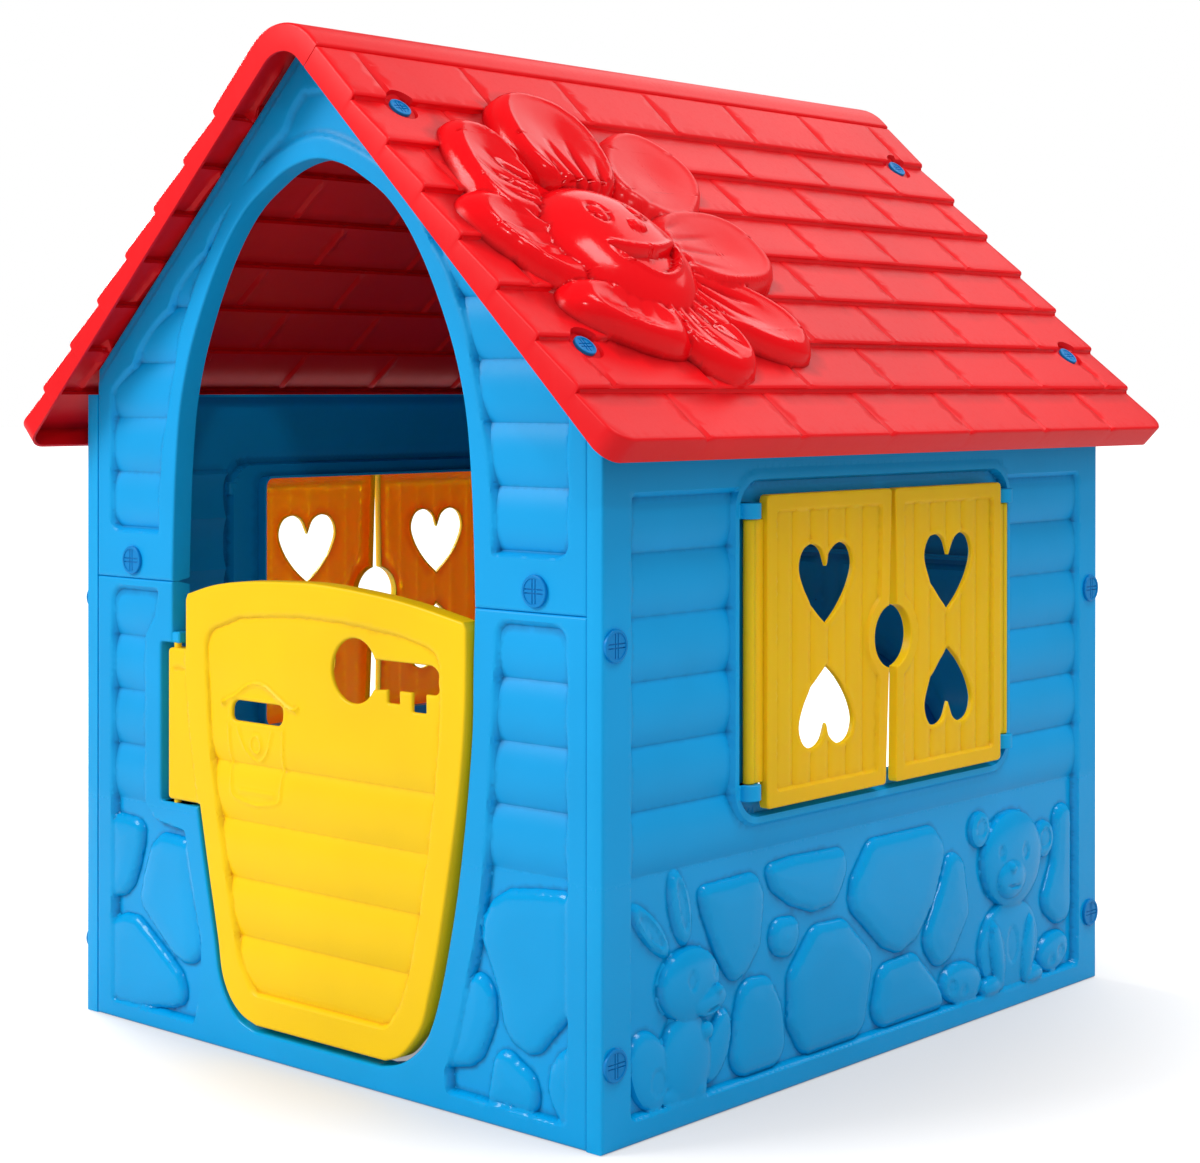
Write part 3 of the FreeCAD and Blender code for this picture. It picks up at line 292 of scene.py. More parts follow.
def panel(outer, holes, surface, lines, grids, turn, edge=2.2, skin=SKIN, back_lines=(), back_pitch=8.0,
          lip=None, under=None):
    """Closed shell: relief in front, rounded edges turned in to the depth that turn gives, thin back
    that follows the relief or, where it is given, the depth under.
    Returns (u, depth, v) points and triangles."""
    lip = skin if lip is None else lip
    loops = [turned(outer, 1)] + [turned(h, -1) for h in holes]
    front2, front_faces, front_ids = fill([shifted(l, edge) for l in loops], lines, grids)
    back2, back_faces, back_ids = fill([shifted(l, lip) for l in loops], back_lines, [(back_pitch, None)])
    front_depth, back_depth = surface(front2), (under or surface)(back2) + skin
    points = [np.stack([front2[:, 0], front_depth, front2[:, 1]], 1),
              np.stack([back2[:, 0], back_depth, back2[:, 1]], 1)]
    faces = [front_faces, back_faces[:, ::-1] + len(front2)]
    count = len(front2) + len(back2)
    for loop, f, b in zip(loops, front_ids, back_ids):
        n = len(loop)
        at = front_depth[f]
        deep = np.maximum(np.asarray(turn(loop), float), back_depth[b] + 0.1)
        rows = [f]
        for t in (30, 60, 90):
            t = math.radians(t)
            ring = shifted(loop, edge * (1 - math.sin(t)))
            rows.append((ring, at + edge * (1 - math.cos(t))))
        rows += [(loop, deep), (shifted(loop, lip), deep)]
        numbers = [f]
        for ring, depth in rows[1:]:
            points.append(np.stack([ring[:, 0], depth, ring[:, 1]], 1))
            numbers.append(count + np.arange(n))
            count += n
        numbers.append(b + len(front2))
        for p, q in zip(numbers[:-1], numbers[1:]):
            p2, q2 = np.roll(p, -1), np.roll(q, -1)
            faces += [np.stack([p, q, q2], 1), np.stack([p, q2, p2], 1)]
    return np.vstack(points), np.vstack(faces)


def block(u0, u1, d0, d1, v0, v1, r=1.0):
    """Box with bevelled edges, as (u, depth, v) points and triangles."""
    lo, hi = np.array([u0, d0, v0], float), np.array([u1, d1, v1], float)
    pts = []
    for i in range(8):
        corner = np.array([(hi if i >> k & 1 else lo)[k] for k in range(3)])
        inward = np.array([(-r if i >> k & 1 else r) for k in range(3)])
        for axis in range(3):
            move = inward.copy()
            move[axis] = 0
            pts.append(corner + move)
    faces, around = [], ((0, 0), (1, 0), (1, 1), (0, 1))
    for axis in range(3):
        o = [a for a in range(3) if a != axis]
        for side in (0, 1):
            q = [3 * (sum(bit << a for a, bit in zip(o, bits)) + (side << axis)) + axis for bits in around]
            faces += [(q[0], q[1], q[2]), (q[0], q[2], q[3])]
    for axis in range(3):
        o = [a for a in range(3) if a != axis]
        for bits in around:
            a0 = sum(bit << a for a, bit in zip(o, bits))
            a1 = a0 + (1 << axis)
            p, q = o
            faces += [(a0 * 3 + p, a1 * 3 + p, a1 * 3 + q), (a0 * 3 + p, a1 * 3 + q, a0 * 3 + q)]
    for i in range(8):
        faces.append((i * 3, i * 3 + 1, i * 3 + 2))
    pts, faces = np.array(pts), np.array(faces)
    centre = (lo + hi) / 2
    a, b, c = pts[faces[:, 0]], pts[faces[:, 1]], pts[faces[:, 2]]
    out = np.sum(np.cross(b - a, c - a) * ((a + b + c) / 3 - centre), 1) > 0
    faces[~out] = faces[~out][:, ::-1]
    return pts, faces


def post(u, d, v0, v1, r, sides=28, edge=0.8):
    """Upright round post along v with bevelled ends."""
    t = np.linspace(0, 2 * math.pi, sides, endpoint=False)
    rows = [(v0, r - edge), (v0 + edge, r), (v1 - edge, r), (v1, r - edge)]
    pts = [np.stack([u + q * np.cos(t), d + q * np.sin(t), np.full(sides, v)], 1) for v, q in rows]
    pts += [np.array([[u, d, v0]]), np.array([[u, d, v1]])]
    faces = []
    for k in range(3):
        a = k * sides + np.arange(sides)
        b = k * sides + (np.arange(sides) + 1) % sides
        faces += [np.stack([a, b + sides, b], 1), np.stack([a, a + sides, b + sides], 1)]
    i = np.arange(sides)
    faces.append(np.stack([i, (i + 1) % sides, np.full(sides, 4 * sides)], 1))
    top = 3 * sides + i
    faces.append(np.stack([top, np.full(sides, 4 * sides + 1), 3 * sides + (i + 1) % sides], 1))
    return np.vstack(pts), np.vstack(faces)[:, ::-1]


def together(*shapes):
    points, faces, count = [], [], 0
    for p, f in shapes:
        points.append(p)
        faces.append(f + count)
        count += len(p)
    return np.vstack(points), np.vstack(faces)


def at_front(p):
    return np.stack([p[:, 0], p[:, 1] - LENGTH / 2, p[:, 2]], 1)


def at_back(p):
    return np.stack([-p[:, 0], LENGTH / 2 - p[:, 1], p[:, 2]], 1)


def at_right(p):
    return np.stack([WIDTH / 2 - p[:, 1], p[:, 0], p[:, 2]], 1)


def at_left(p):
    return np.stack([p[:, 1] - WIDTH / 2, p[:, 0], p[:, 2]], 1)


def on_roof(p):
    """Right slope."""
    n, s = -p[:, 1], p[:, 2]
    return np.stack([s * math.cos(SLOPE) + n * math.sin(SLOPE), p[:, 0],
                     RIDGE_Z - s * math.sin(SLOPE) + n * math.cos(SLOPE)], 1)


def make(name, shape, place, body, nodes, material, flip=False):
    """Blender object from a shape, riding on its body and standing for its CAD nodes."""
    points, faces = shape
    points = place(points) / 1000.0
    if flip:
        faces = faces[:, ::-1]
    used = np.zeros(len(points), bool)
    used[faces.ravel()] = True
    number = np.cumsum(used) - 1
    points, faces = points[used], number[faces]
    same = (faces[:, 0] == faces[:, 1]) | (faces[:, 1] == faces[:, 2]) | (faces[:, 2] == faces[:, 0])
    faces = faces[~same]
    mesh = bpy.data.meshes.new(name)
    mesh.vertices.add(len(points))
    mesh.vertices.foreach_set("co", points.astype(np.float32).ravel())
    mesh.loops.add(faces.size)
    mesh.loops.foreach_set("vertex_index", faces.astype(np.int32).ravel())
    mesh.polygons.add(len(faces))
    mesh.polygons.foreach_set("loop_start", np.arange(0, faces.size, 3, dtype=np.int32))
    mesh.update(calc_edges=True)
    mesh.validate()
    mesh.polygons.foreach_set("use_smooth", np.ones(len(mesh.polygons), bool))
    mesh.set_sharp_from_angle(angle=math.radians(SHARP_EDGE))
    # how far each vertex stands out of its neighbours; the materials use it to pale the edges (wear and
    # painted highlight) and darken the corners (painted shade)
    ends = np.zeros(len(mesh.edges) * 2, np.int32)
    mesh.edges.foreach_get("vertices", ends)
    a, b = ends[0::2], ends[1::2]
    co = np.zeros(len(mesh.vertices) * 3, np.float32)
    mesh.vertices.foreach_get("co", co)
    co = co.reshape(-1, 3).astype(float)
    normal = np.zeros(len(mesh.vertices) * 3, np.float32)
    mesh.vertex_normals.foreach_get("vector", normal)
    normal = normal.reshape(-1, 3)
    n = len(co)
    length = np.linalg.norm(co[a] - co[b], axis=1)
    weight = 1.0 / np.maximum(length, 2e-4)
    total = np.bincount(a, weight, n) + np.bincount(b, weight, n)
    mean = np.stack([np.bincount(a, weight * co[b, k], n)
                     + np.bincount(b, weight * co[a, k], n) for k in range(3)], 1)
    mean /= np.maximum(total, 1e-9)[:, None]
    reach = np.bincount(a, length * weight, n) + np.bincount(b, length * weight, n)
    reach /= np.maximum(total, 1e-9)
    bend = -np.sum((mean - co) * normal, 1) / np.maximum(reach, 1e-6)
    for _ in range(2):
        near = np.bincount(a, bend[b], n) + np.bincount(b, bend[a], n)
        many = np.maximum(np.bincount(a, None, n) + np.bincount(b, None, n), 1)
        bend = 0.5 * bend + 0.5 * near / many
    attribute = mesh.attributes.new("bend", "FLOAT", "POINT")
    attribute.data.foreach_set("value", np.clip(bend * 1.6, -1, 1).astype(np.float32))
    mesh.materials.append(material)
    obj = bpy.data.objects.new(name, mesh)
    bpy.context.scene.collection.objects.link(obj)
    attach(obj, body)
    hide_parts(*nodes)
    return obj


# ---------------------------------------------------------------- relief profiles
def logs(v, crest=CREST, groove=GROOVE):
    """Depth of a wall of round logs."""
    x = 2 * (((v - LOG_BASE) / LOG) % 1.0) - 1
    return groove - (groove - crest) * (1 - np.abs(x) ** 2.3)


def log_lines(u0, u1, low, high):
    """Lines that keep the grooves between logs crisp."""
    first, last = math.ceil((low - LOG_BASE) / LOG), math.ceil((high - LOG_BASE) / LOG)
    return [stroke((u0, LOG_BASE + LOG * k + off), (u1, LOG_BASE + LOG * k + off), 5.0)
            for k in range(first, last) for off in (-2.5, 0.0, 2.5)]


def dome(distance, width, high):
    t = np.clip(distance / width, 0, 1)
    return high * np.sqrt(np.maximum(1 - (1 - t) ** 2, 0))


def stone_relief(p, groups, high=8.4):
    """Height of flat stones with rounded rims above the ground between them."""
    h = np.zeros(len(p))
    for loop in groups:
        d = within(p, loop, 26)
        h = np.maximum(h, np.where(d > 0, dome(d, 9.5, high - 1.6) + 1.6 * ease(d / 26), 0))
    return h


def siding(p):
    """Logs above, and the flat ground between the stones below."""
    return np.where(p[:, 1] > STONE_TOP, logs(p[:, 1]), GROOVE)


def sunk(fields, inside, width=5.5):
    """Relief that is flat apart from sunk fields."""
    def surface(p):
        d = np.zeros(len(p))
        deep = inside(p)
        for f in fields:
            d = np.maximum(d, deep * ease(within(p, f, 8) / width))
        return d
    return surface


def blob_radius(p, u, v, a, b, turn):
    c, s = math.cos(math.radians(turn)), math.sin(math.radians(turn))
    x, y = p[:, 0] - u, p[:, 1] - v
    return np.sqrt(((c * x + s * y) / a) ** 2 + ((-s * x + c * y) / b) ** 2)


def blob(p, u, v, a, b, turn, low, high):
    """Rounded bump with a steep rim `low` high and a crown `high` high."""
    e = blob_radius(p, u, v, a, b, turn)
    crown = low + (high - low) * np.sqrt(np.maximum(1 - e * e, 0))
    return crown * ease((1 - e) * min(a, b) / 2.4)


def figure_relief(p, solid, dents):
    """Height of a figure made of bumps, with (u, v, a, b, turn, depth) dents sunk into it."""
    h = np.zeros(len(p))
    for s in solid:
        h = np.maximum(h, blob(p, *s))
    for u, v, a, b, turn, deep in dents:
        e = blob_radius(p, u, v, a, b, turn)
        h = np.where((h > 0) & (e < 1), h - deep * ease((1 - e) * min(a, b) / 2.0), h)
    return h


def figure_lines(solid, dents):
    found = []
    for u, v, a, b, turn, *_ in solid:
        found.append((ellipse(u, v, a, b, turn), True))
        found.append((ellipse(u, v, a - 2.2, b - 2.2, turn), True))
    for u, v, a, b, turn, _ in dents:
        found.append((ellipse(u, v, a, b, turn, 2.0), True))
    return found


def roof_line(u):
    return RIDGE_Z - ROOF_SEAT / math.cos(SLOPE) - abs(u) * math.tan(SLOPE)


# ---------------------------------------------------------------- side walls
SIDE_FIELD = rounded([(-402, 20, 10), (402, 20, 10), (402, 600, 8), (-402, 600, 8)])
SURROUND = rounded([(-252, 267, 40), (252, 267, 40), (252, 617, 40), (-252, 617, 40)])
POCKET = rounded([(-243, 277, 32), (243, 277, 32), (243, 607, 32), (-243, 607, 32)])
WINDOW = rounded([(-200, 293, 10), (200, 293, 10), (200, 588, 10), (-200, 588, 10)])
SIDE_STONES = [rounded(s, 24) for s in (
    [(-299, 221), (-206, 223), (-193, 200), (-199, 148), (-222, 124), (-244, 117), (-268, 146), (-290, 192)],
    [(-194, 226), (-150, 229), (-58, 226), (-53, 200), (-74, 168), (-112, 165), (-150, 178), (-182, 198)],
    [(-182, 172), (-138, 168), (-134, 144), (-152, 125), (-186, 136)],
    [(-14, 227), (104, 226), (131, 198), (106, 142), (72, 106), (40, 96), (10, 108), (-52, 160), (-46, 190)],
    [(136, 196), (166, 180), (177, 118), (140, 74), (112, 66), (88, 92), (88, 110), (118, 160)],
    [(-112, 154), (-58, 152), (-6, 106), (-26, 24), (-132, 24), (-156, 60), (-154, 112)],
    [(-230, 121), (-184, 117), (-164, 84), (-156, 24), (-250, 24), (-242, 84)],
    [(4, 92), (70, 95), (114, 54), (130, 24), (-18, 24)],
    [(356, 214), (392, 214), (392, 78), (362, 72), (322, 100), (350, 150)])]
HARE = [(-369, 60, 28, 41, 22, 4, 10), (-268, 63, 18, 37, -24, 4, 9), (-316, 60, 37, 48, 4, 4, 13),
        (-366, 190, 13, 40, 45, 3, 7), (-323, 205, 15, 40, 14, 3, 8), (-311, 131, 45, 36, -4, 5, 15),
        (-286, 112, 27, 16, 8, 8, 17), (-278, 122, 8, 6, 0, 14, 19), (-300, 30, 15, 13, 0, 4, 11),
        (-335, 30, 20, 13, 0, 4, 10), (-289, 84, 9, 11, 20, 8, 14)]
HARE_DENTS = [(-366, 190, 7, 29, 45, 2.2), (-322, 207, 7, 29, 14, 2.2), (-315, 136, 8, 10.5, 0, 1.6),
              (-277, 140, 5.5, 9.5, 0, 1.6), (-284, 104, 14, 3.2, 8, 2.6), (-360, 48, 12, 15, 20, 1.2)]
BEAR = [(197, 207, 20, 21, 0, 4, 9), (332, 178, 21, 22, 0, 4, 10), (258, 68, 62, 54, 0, 4, 11),
        (160, 44, 42, 24, -10, 4, 12), (352, 46, 34, 23, 10, 4, 12), (262, 166, 62, 55, -8, 5, 17),
        (250, 146, 30, 23, -6, 13, 22), (246, 159, 9, 7, 0, 19, 25), (226, 62, 14, 44, 10, 8, 17),
        (290, 60, 14, 42, -10, 8, 17), (214, 30, 22, 13, 0, 8, 16), (302, 28, 22, 13, 0, 8, 16)]
BEAR_DENTS = [(197, 208, 11, 12, 0, 2.4), (332, 179, 12, 13, 0, 2.4), (231, 177, 7, 9, 0, 1.8),
              (279, 173, 8, 10, 0, 1.8), (250, 138, 17, 3.4, -6, 2.6), (258, 70, 12, 22, 0, 1.4),
              (136, 44, 9, 9, 0, 1.6), (158, 38, 7, 7, 0, 1.2), (362, 44, 9, 9, 0, 1.6),
              (342, 38, 7, 7, 0, 1.2)]


def side_surface(p):
    h = np.maximum.reduce([stone_relief(p, SIDE_STONES), figure_relief(p, HARE, HARE_DENTS) * 0.85,
                           figure_relief(p, BEAR, BEAR_DENTS) * 0.78])
    d = siding(p) - h
    d = d * ease(within(p, SIDE_FIELD, 8) / 5.5)
    s, q = within(p, SURROUND, 14), within(p, POCKET, 14)
    d = d + (-1.3 - d) * ease(s / 3.5)
    return d + (8.0 - d) * ease(q / 3.0)


side_lines = (log_lines(-398, 398, 243, 600) + inset_lines(SIDE_STONES, STONE_RIM)
              + figure_lines(HARE, HARE_DENTS) + figure_lines(BEAR, BEAR_DENTS) + inset_lines([SIDE_FIELD])
              + inset_lines([SURROUND], (0, 3.5)) + inset_lines([POCKET], (0, 3.0)))
side_outer = rounded([(-441.5, 0), (441.5, 0), (441.5, SIDE_TOP), (-441.5, SIDE_TOP)])
side = panel(side_outer, [WINDOW], side_surface, side_lines,
             [(2.7, lambda p: p[:, 1] < 250), (6.0, None)],
             lambda l: np.where(np.abs(l[:, 0]) > 441, LIP, np.where(l[:, 1] > 680, 20.0, REVEAL)), edge=2.5,
             back_lines=[stroke((-396, LOG_BASE + LOG * k), (396, LOG_BASE + LOG * k), 8)
                         for k in range(4, 11)]
             + inset_lines([SURROUND], (0, 3.5)) + inset_lines([POCKET], (0.2, 3.0))
             + inset_lines([SIDE_FIELD]))
hinge_lugs = []
for s in (-1, 1):
    for z0, z1 in ((569.0, 584.5), (295.5, 311.0)):
        hinge_lugs.append(post(s * SHUTTER_AXIS_U, SHUTTER_AXIS_D, z0, z1, 12.0))
        u0, u1 = sorted((s * 217.0, s * 245.0))
        hinge_lugs.append(block(u0, u1, -2.0, 10.5, z0, z1, 1.5))
side = together(side, *hinge_lugs)

# ---------------------------------------------------------------- end walls
ARCH = [(228, 487), (226, 552), (222.5, 612), (215, 675), (201, 727), (182, 773), (156, 822), (129, 860),
        (104, 885), (76, 903), (42, 920), (0, 928)]
arch = curve([(-6 + w, z) for w, z in [(228, 460)] + ARCH]
             + [(-6 - w, z) for w, z in reversed([(228, 460)] + ARCH[:-1])])
arch = arch[arch[:, 1] >= SEAM_Z - 0.01]
gable_outer = closed(np.vstack([[(PLATE, SEAM_Z), (PLATE, roof_line(PLATE)), (19, roof_line(19)),
                                 (-19, roof_line(19)), (-PLATE, roof_line(PLATE)), (-PLATE, SEAM_Z)],
                                arch[::-1]]))


BAND = [(250, 548), (248, 600), (240, 650), (229, 692), (215, 750), (192, 800), (166, 839), (132, 884)]
BAND_TOP = [(118, 900), (72, 926), (23, 945), (0, 948), (-23, 945), (-72, 926), (-118, 900)]


def scallop(s, high, low):
    """Outer edge of the siding under the roof: each log reaches out, each groove draws back."""
    z = np.arange(high, low, -6.0)
    x = (RIDGE_Z - ROOF_SEAT / math.cos(SLOPE) - 43 - z) / math.tan(SLOPE)
    wave = 11.0 * (np.abs(2 * (((z - LOG_BASE) / LOG) % 1.0) - 1) ** 2)
    return [(s * a, b) for a, b in zip(np.minimum(x - wave, 344), z)]


def gable_field(s):
    band = curve([(-6 + s * w, z) for w, z in BAND])
    return rounded([(s * 344, 536, 18), (-6 + s * 250, 536, 10)] + listed(band) + scallop(s, 896, 660))


apex_top = scallop(-1, 1002, 916)
apex_field = closed([(-6 + w, z) for w, z in curve(BAND_TOP)] + apex_top[::-1]
                    + [(-u, v) for u, v in apex_top])
gable_fields = [gable_field(-1), gable_field(1)]


def gable_surface(p):
    d = sunk(gable_fields, lambda q: logs(q[:, 1]))(p)
    t = within(p, apex_field, 30)
    d = np.maximum(d, np.where(t > 0, 4.5 * ease(t / 9.0), 0))
    line = roof_line(0) - 16 - np.abs(p[:, 0]) * math.tan(SLOPE)
    return d + 0.8 * ease((p[:, 1] - line) / 2.0)


ledge = [stroke((s * 364, roof_line(364) - 16 + o), (s * 3, roof_line(3) - 16 + o))
         for s in (-1, 1) for o in (0, 2)]
front_upper = panel(gable_outer, [], gable_surface,
                    log_lines(-343, 343, 536, 880) + inset_lines(gable_fields + [apex_field]) + ledge,
                    [(3.6, None)],
                    lambda l: np.where((np.abs(l[:, 0]) > 365) | (l[:, 1] < SEAM_Z + 1)
                                       | (l[:, 1] > RIDGE_Z - 15.9 - np.abs(l[:, 0]) * math.tan(SLOPE)),
                                       8.0, REVEAL), edge=2.6)

NOTCH_LOW, NOTCH_HIGH = 249.0, 421.0
door_right = curve([(222, 520), (222, 487), (220, 430), (219, 374), (214, 318), (207, 262), (198, 206),
                    (186, 150), (175, 108), (165, 80), (154, 60), (137, 44), (118, 33), (92, 26)])
door_right = door_right[door_right[:, 1] <= 486.8]
door_left = curve([(-97, 26), (-123, 34), (-141, 50), (-155, 77), (-163, 116), (-180, 192),
                   (-191, NOTCH_LOW)])
doorway = [(222, 486.7)] + listed(door_right) + listed(door_left) + [
    (-254, NOTCH_LOW, 3), (-254, NOTCH_HIGH, 3), (-234, NOTCH_HIGH, 2), (-234, 486.7)]
front_outer = rounded([(-PLATE, 0), (PLATE, 0), (PLATE, 486.7)] + doorway + [(-PLATE, 486.7)])
left_field = rounded([(-342, 479, 18), (-256, 479, 6), (-262, 446, 10), (-280, 426, 8), (-280, 244, 12),
                      (-262, 228, 12), (-212, 222, 8), (-200, 170, 30), (-184, 106, 20), (-186, 60, 20),
                      (-196, 16, 6), (-342, 16, 8)])
right_field = rounded([(343, 479, 18), (343, 16, 8), (184, 17, 6)] + listed(curve(
    [(182, 40), (194, 70), (207, 118), (218, 156), (226, 192), (233, 240), (239, 307), (243, 357),
     (248, 440)])) + [(250, 479, 16)])
FRONT_STONES = [rounded(s, 20) for s in (
    [(-350, 227), (-300, 224), (-288, 216), (-290, 196), (-298, 170), (-308, 148), (-322, 135), (-350, 128)],
    [(-258, 214), (-278, 198), (-290, 166), (-298, 136), (-290, 124), (-262, 101), (-240, 84), (-220, 75),
     (-203, 78), (-187, 90), (-186, 106), (-194, 150), (-204, 212)],
    [(-350, 106), (-322, 117), (-300, 117), (-270, 98), (-240, 78), (-224, 66), (-216, 48), (-218, 32),
     (-240, 24), (-290, 17), (-350, 14)],
    [(352, 234), (300, 230), (262, 225), (240, 212), (228, 192), (227, 170), (238, 148), (250, 120),
     (254, 96), (266, 80), (288, 71), (304, 76), (318, 92), (352, 126)],
    [(222, 141), (236, 136), (245, 122), (246, 98), (238, 78), (228, 58), (214, 47), (186, 41), (180, 46),
     (192, 80), (203, 115), (213, 134)],
    [(242, 62), (252, 72), (264, 73), (280, 64), (296, 55), (302, 40), (300, 18), (232, 17), (238, 40)],
    [(352, 99), (326, 82), (314, 66), (311, 46), (318, 30), (330, 15), (352, 12)])]


def lower_turn(l):
    """How deep an edge turns in: further round an opening or at the foot than at the joints."""
    return np.where((np.abs(l[:, 0]) > 365) | (l[:, 1] > 486), 8.0, REVEAL)


front_lower = panel(
    front_outer, [], sunk([left_field, right_field], lambda p: siding(p) - stone_relief(p, FRONT_STONES)),
    log_lines(-341, -262, 243, 479) + log_lines(236, 342, 243, 479) + inset_lines([left_field, right_field])
    + inset_lines(FRONT_STONES, STONE_RIM), [(2.7, lambda p: p[:, 1] < 250), (4.5, None)],
    lower_turn, edge=2.6)
front_lower = together(
    front_lower, block(-256, -223, 1, 16, NOTCH_HIGH, NOTCH_HIGH + 12, 1.5),
    block(-256, -207, 1, 16, NOTCH_LOW - 12, NOTCH_LOW, 1.5),
    block(209, 223, 17, 21, 440, 470, 1.0))

back_field = rounded([(-330, 536, 18), (330, 536, 18)] + [(u, roof_line(u) - 38, r) for u, r in
                     ((330, 10), (70, 30), (-70, 30), (-330, 10))])
back_outer = rounded([(PLATE, SEAM_Z), (PLATE, roof_line(PLATE)), (19, roof_line(19)), (-19, roof_line(19)),
                      (-PLATE, roof_line(PLATE)), (-PLATE, SEAM_Z)])
back_upper = panel(back_outer, [], sunk([back_field], lambda p: logs(p[:, 1])),
                   log_lines(-329, 329, 536, 1000) + inset_lines([back_field]), [(6.0, None)],
                   lambda l: np.full(len(l), 8.0), edge=2.6)
crawl = rounded([(182, 28, 10), (182, 192)] + [(182 * math.cos(t), 192 + 182 * math.sin(t)) for t in
                 [math.radians(a) for a in range(3, 180, 3)]] + [(-182, 192), (-182, 28, 10)])
arc = [(208 * math.cos(math.radians(a)), 192 + 208 * math.sin(math.radians(a))) for a in range(0, 87, 4)]
back_right = rounded([(343, 479, 18), (343, 16, 8), (208, 16, 6)] + arc + [(14, 400), (14, 479, 10)])
back_left = back_right * (-1, 1)
back_lower = panel(rounded([(-PLATE, 0), (PLATE, 0), (PLATE, 486.7), (-PLATE, 486.7)]), [crawl],
                   sunk([back_right, back_left], siding),
                   log_lines(-342, 342, 243, 479) + inset_lines([back_right, back_left]), [(5.0, None)],
                   lower_turn, edge=2.6)


# ---------------------------------------------------------------- shutters
def heart(u, v, w, h, way):
    half = [(0, -0.5), (0.22, -0.30), (0.42, -0.02), (0.5, 0.24), (0.42, 0.44), (0.25, 0.5), (0.10, 0.43),
            (0, 0.22)]
    right = curve([(u + a * w, v + way * b * h) for a, b in half], step=3.0)
    left = curve([(u - a * w, v + way * b * h) for a, b in reversed(half)], step=3.0)
    return np.vstack([right[:-1], left[:-1]])


BOARD, BOARD_U = 30.0, -197.0           # width of a board and where the first one starts


def shutter(foot, head, port_at):
    """Leaf hinged at negative u; its free edge runs from u = foot to u = head, round the port."""
    port = [(port_at + PORT_R * math.cos(math.radians(a)), PORT_V + PORT_R * math.sin(math.radians(a)))
            for a in range(258, 101, -6)]
    outer = rounded([(-212, 285, 5), (foot, 285, 4)] + port + [(head, 592, 4), (-212, 592, 5)], step=3.5)
    inner = rounded([(-197, 300, 4), (foot - 14, 300, 4), (head - 16, 577, 4), (-197, 577, 4)])
    ring = ellipse(port_at, PORT_V, PORT_R + 12, PORT_R + 12)
    holes = [heart(-111, 499, 92, 82, 1), heart(-111, 377, 92, 82, -1)]

    def surface(p):
        boards = (p[:, 0] - BOARD_U) / BOARD
        x, board = 2 * (boards % 1.0) - 1, np.floor(boards)
        d = -7.6 - 1.9 * (1 - np.abs(x) ** 4) + 0.5 * np.sin(p[:, 1] / 21.0 + 2.0 * board) * (1 - x * x)
        d = -12 + (d + 12) * ease(within(p, inner, 6) / 3.0)
        e = within(p, ring, 6)
        d = d + (-12 - d) * ease((e + 3) / 3.0)
        # soft raised lip round the hearts
        lip = np.maximum(within(p, holes[0], 8), within(p, holes[1], 8))
        return d - 0.9 * np.exp(-((lip + 3.0) / 1.8) ** 2)
    lines = inset_lines([inner], (0, 3.0))
    lines += [(ellipse(port_at, PORT_V, PORT_R + o, PORT_R + o), True) for o in (12, 15)]
    lines += [stroke((BOARD_U + BOARD * k + o, 304), (BOARD_U + BOARD * k + o, 573))
              for k in range(1, 6) for o in (-1.5, 0, 1.5)]
    lines += [(shifted(turned(h, -1), o), True) for h in holes for o in (3.0, 4.8)]

    def turn(l):
        return np.where(np.abs(l[:, 0] + 111) < 60, -4.5, -2.0) if area(l) < 0 else np.full(len(l), -2.0)
    leaf = panel(outer, holes, surface, lines, [(3.6, None)], turn, edge=1.5, skin=2.6, lip=1.8)
    return together(leaf, post(-SHUTTER_AXIS_U, SHUTTER_AXIS_D, 311.5, 568.5, 6.0),
                    block(-SHUTTER_AXIS_U, -211, -6.5, 3, 311.5, 568.5, 1.2),
                    post(-SHUTTER_AXIS_U, SHUTTER_AXIS_D, 304, 576, 4))


# ---------------------------------------------------------------- door
TAB_LOW, TAB_HIGH = 253.0, 416.0
door_top = curve([(-204, 476), (-163, 487), (-115, 493.5), (-45, 497), (4, 497.5), (88, 491.5), (144, 484.5),
                  (210, 472.5)])
door_side = curve([(214.5, 466), (214.5, 430), (212.5, 374), (206.5, 318), (197.5, 262), (187, 206),
                   (175.5, 150), (164.5, 108), (154.5, 77), (138, 55), (122, 41), (102, 34)])
door_hang = curve([(-92, 34), (-114, 41), (-131, 54), (-145, 77), (-153, 116), (-170, 192), (-183, TAB_LOW)])
door_outer = rounded(listed(door_top) + listed(door_side) + listed(door_hang)
                     + [(-239, TAB_LOW, 4), (-239, TAB_HIGH, 4), (-207, TAB_HIGH, 2), (-207, 470, 5)],
                     step=3.5)
tab_zone = closed([(-260, 240), (-184, 240)] + listed(curve(
    [(-184.5, 253), (-192, 290), (-199, 335), (-205, 380), (-207, 416)])) + [(-207, 430), (-260, 430)])
door_field = rounded([(-176, 440, 24)] + listed(curve([(-120, 459), (-40, 465), (40, 464), (120, 457)]))
                     + [(180, 444, 24)]
                     + listed(curve([(182, 400), (180, 360), (173, 300), (160, 220), (143, 140)]))
                     + [(126, 88, 20), (104, 64, 16), (-96, 64, 16), (-120, 96, 20)]
                     + listed(curve([(-133, 150), (-151, 230), (-168, 320), (-175, 400)])))
a0, a1 = math.degrees(math.asin(-14.5 / 32.5)), math.degrees(math.asin(13.5 / 32.5))
bow = [(55 + 32.5 * math.cos(math.radians(a)), 413.5 + 32.5 * math.sin(math.radians(a)))
       for a in np.arange(a1, 360 + a0 + 0.1, 5.0)]
key = rounded([(104, 399, 1), (104, 386, 1.5), (120.5, 386, 1.5), (120.5, 399, 1), (139, 399, 1),
               (139, 380, 1.5), (157.5, 380, 1.5), (157.5, 399, 1), (176, 399, 7),
               (176, 427, 13)] + bow, step=3.5)
slot = rounded([(-132, 347.5, 5), (-52, 347.5, 10), (-52, 369, 6), (-132, 369, 10)], step=3.0)
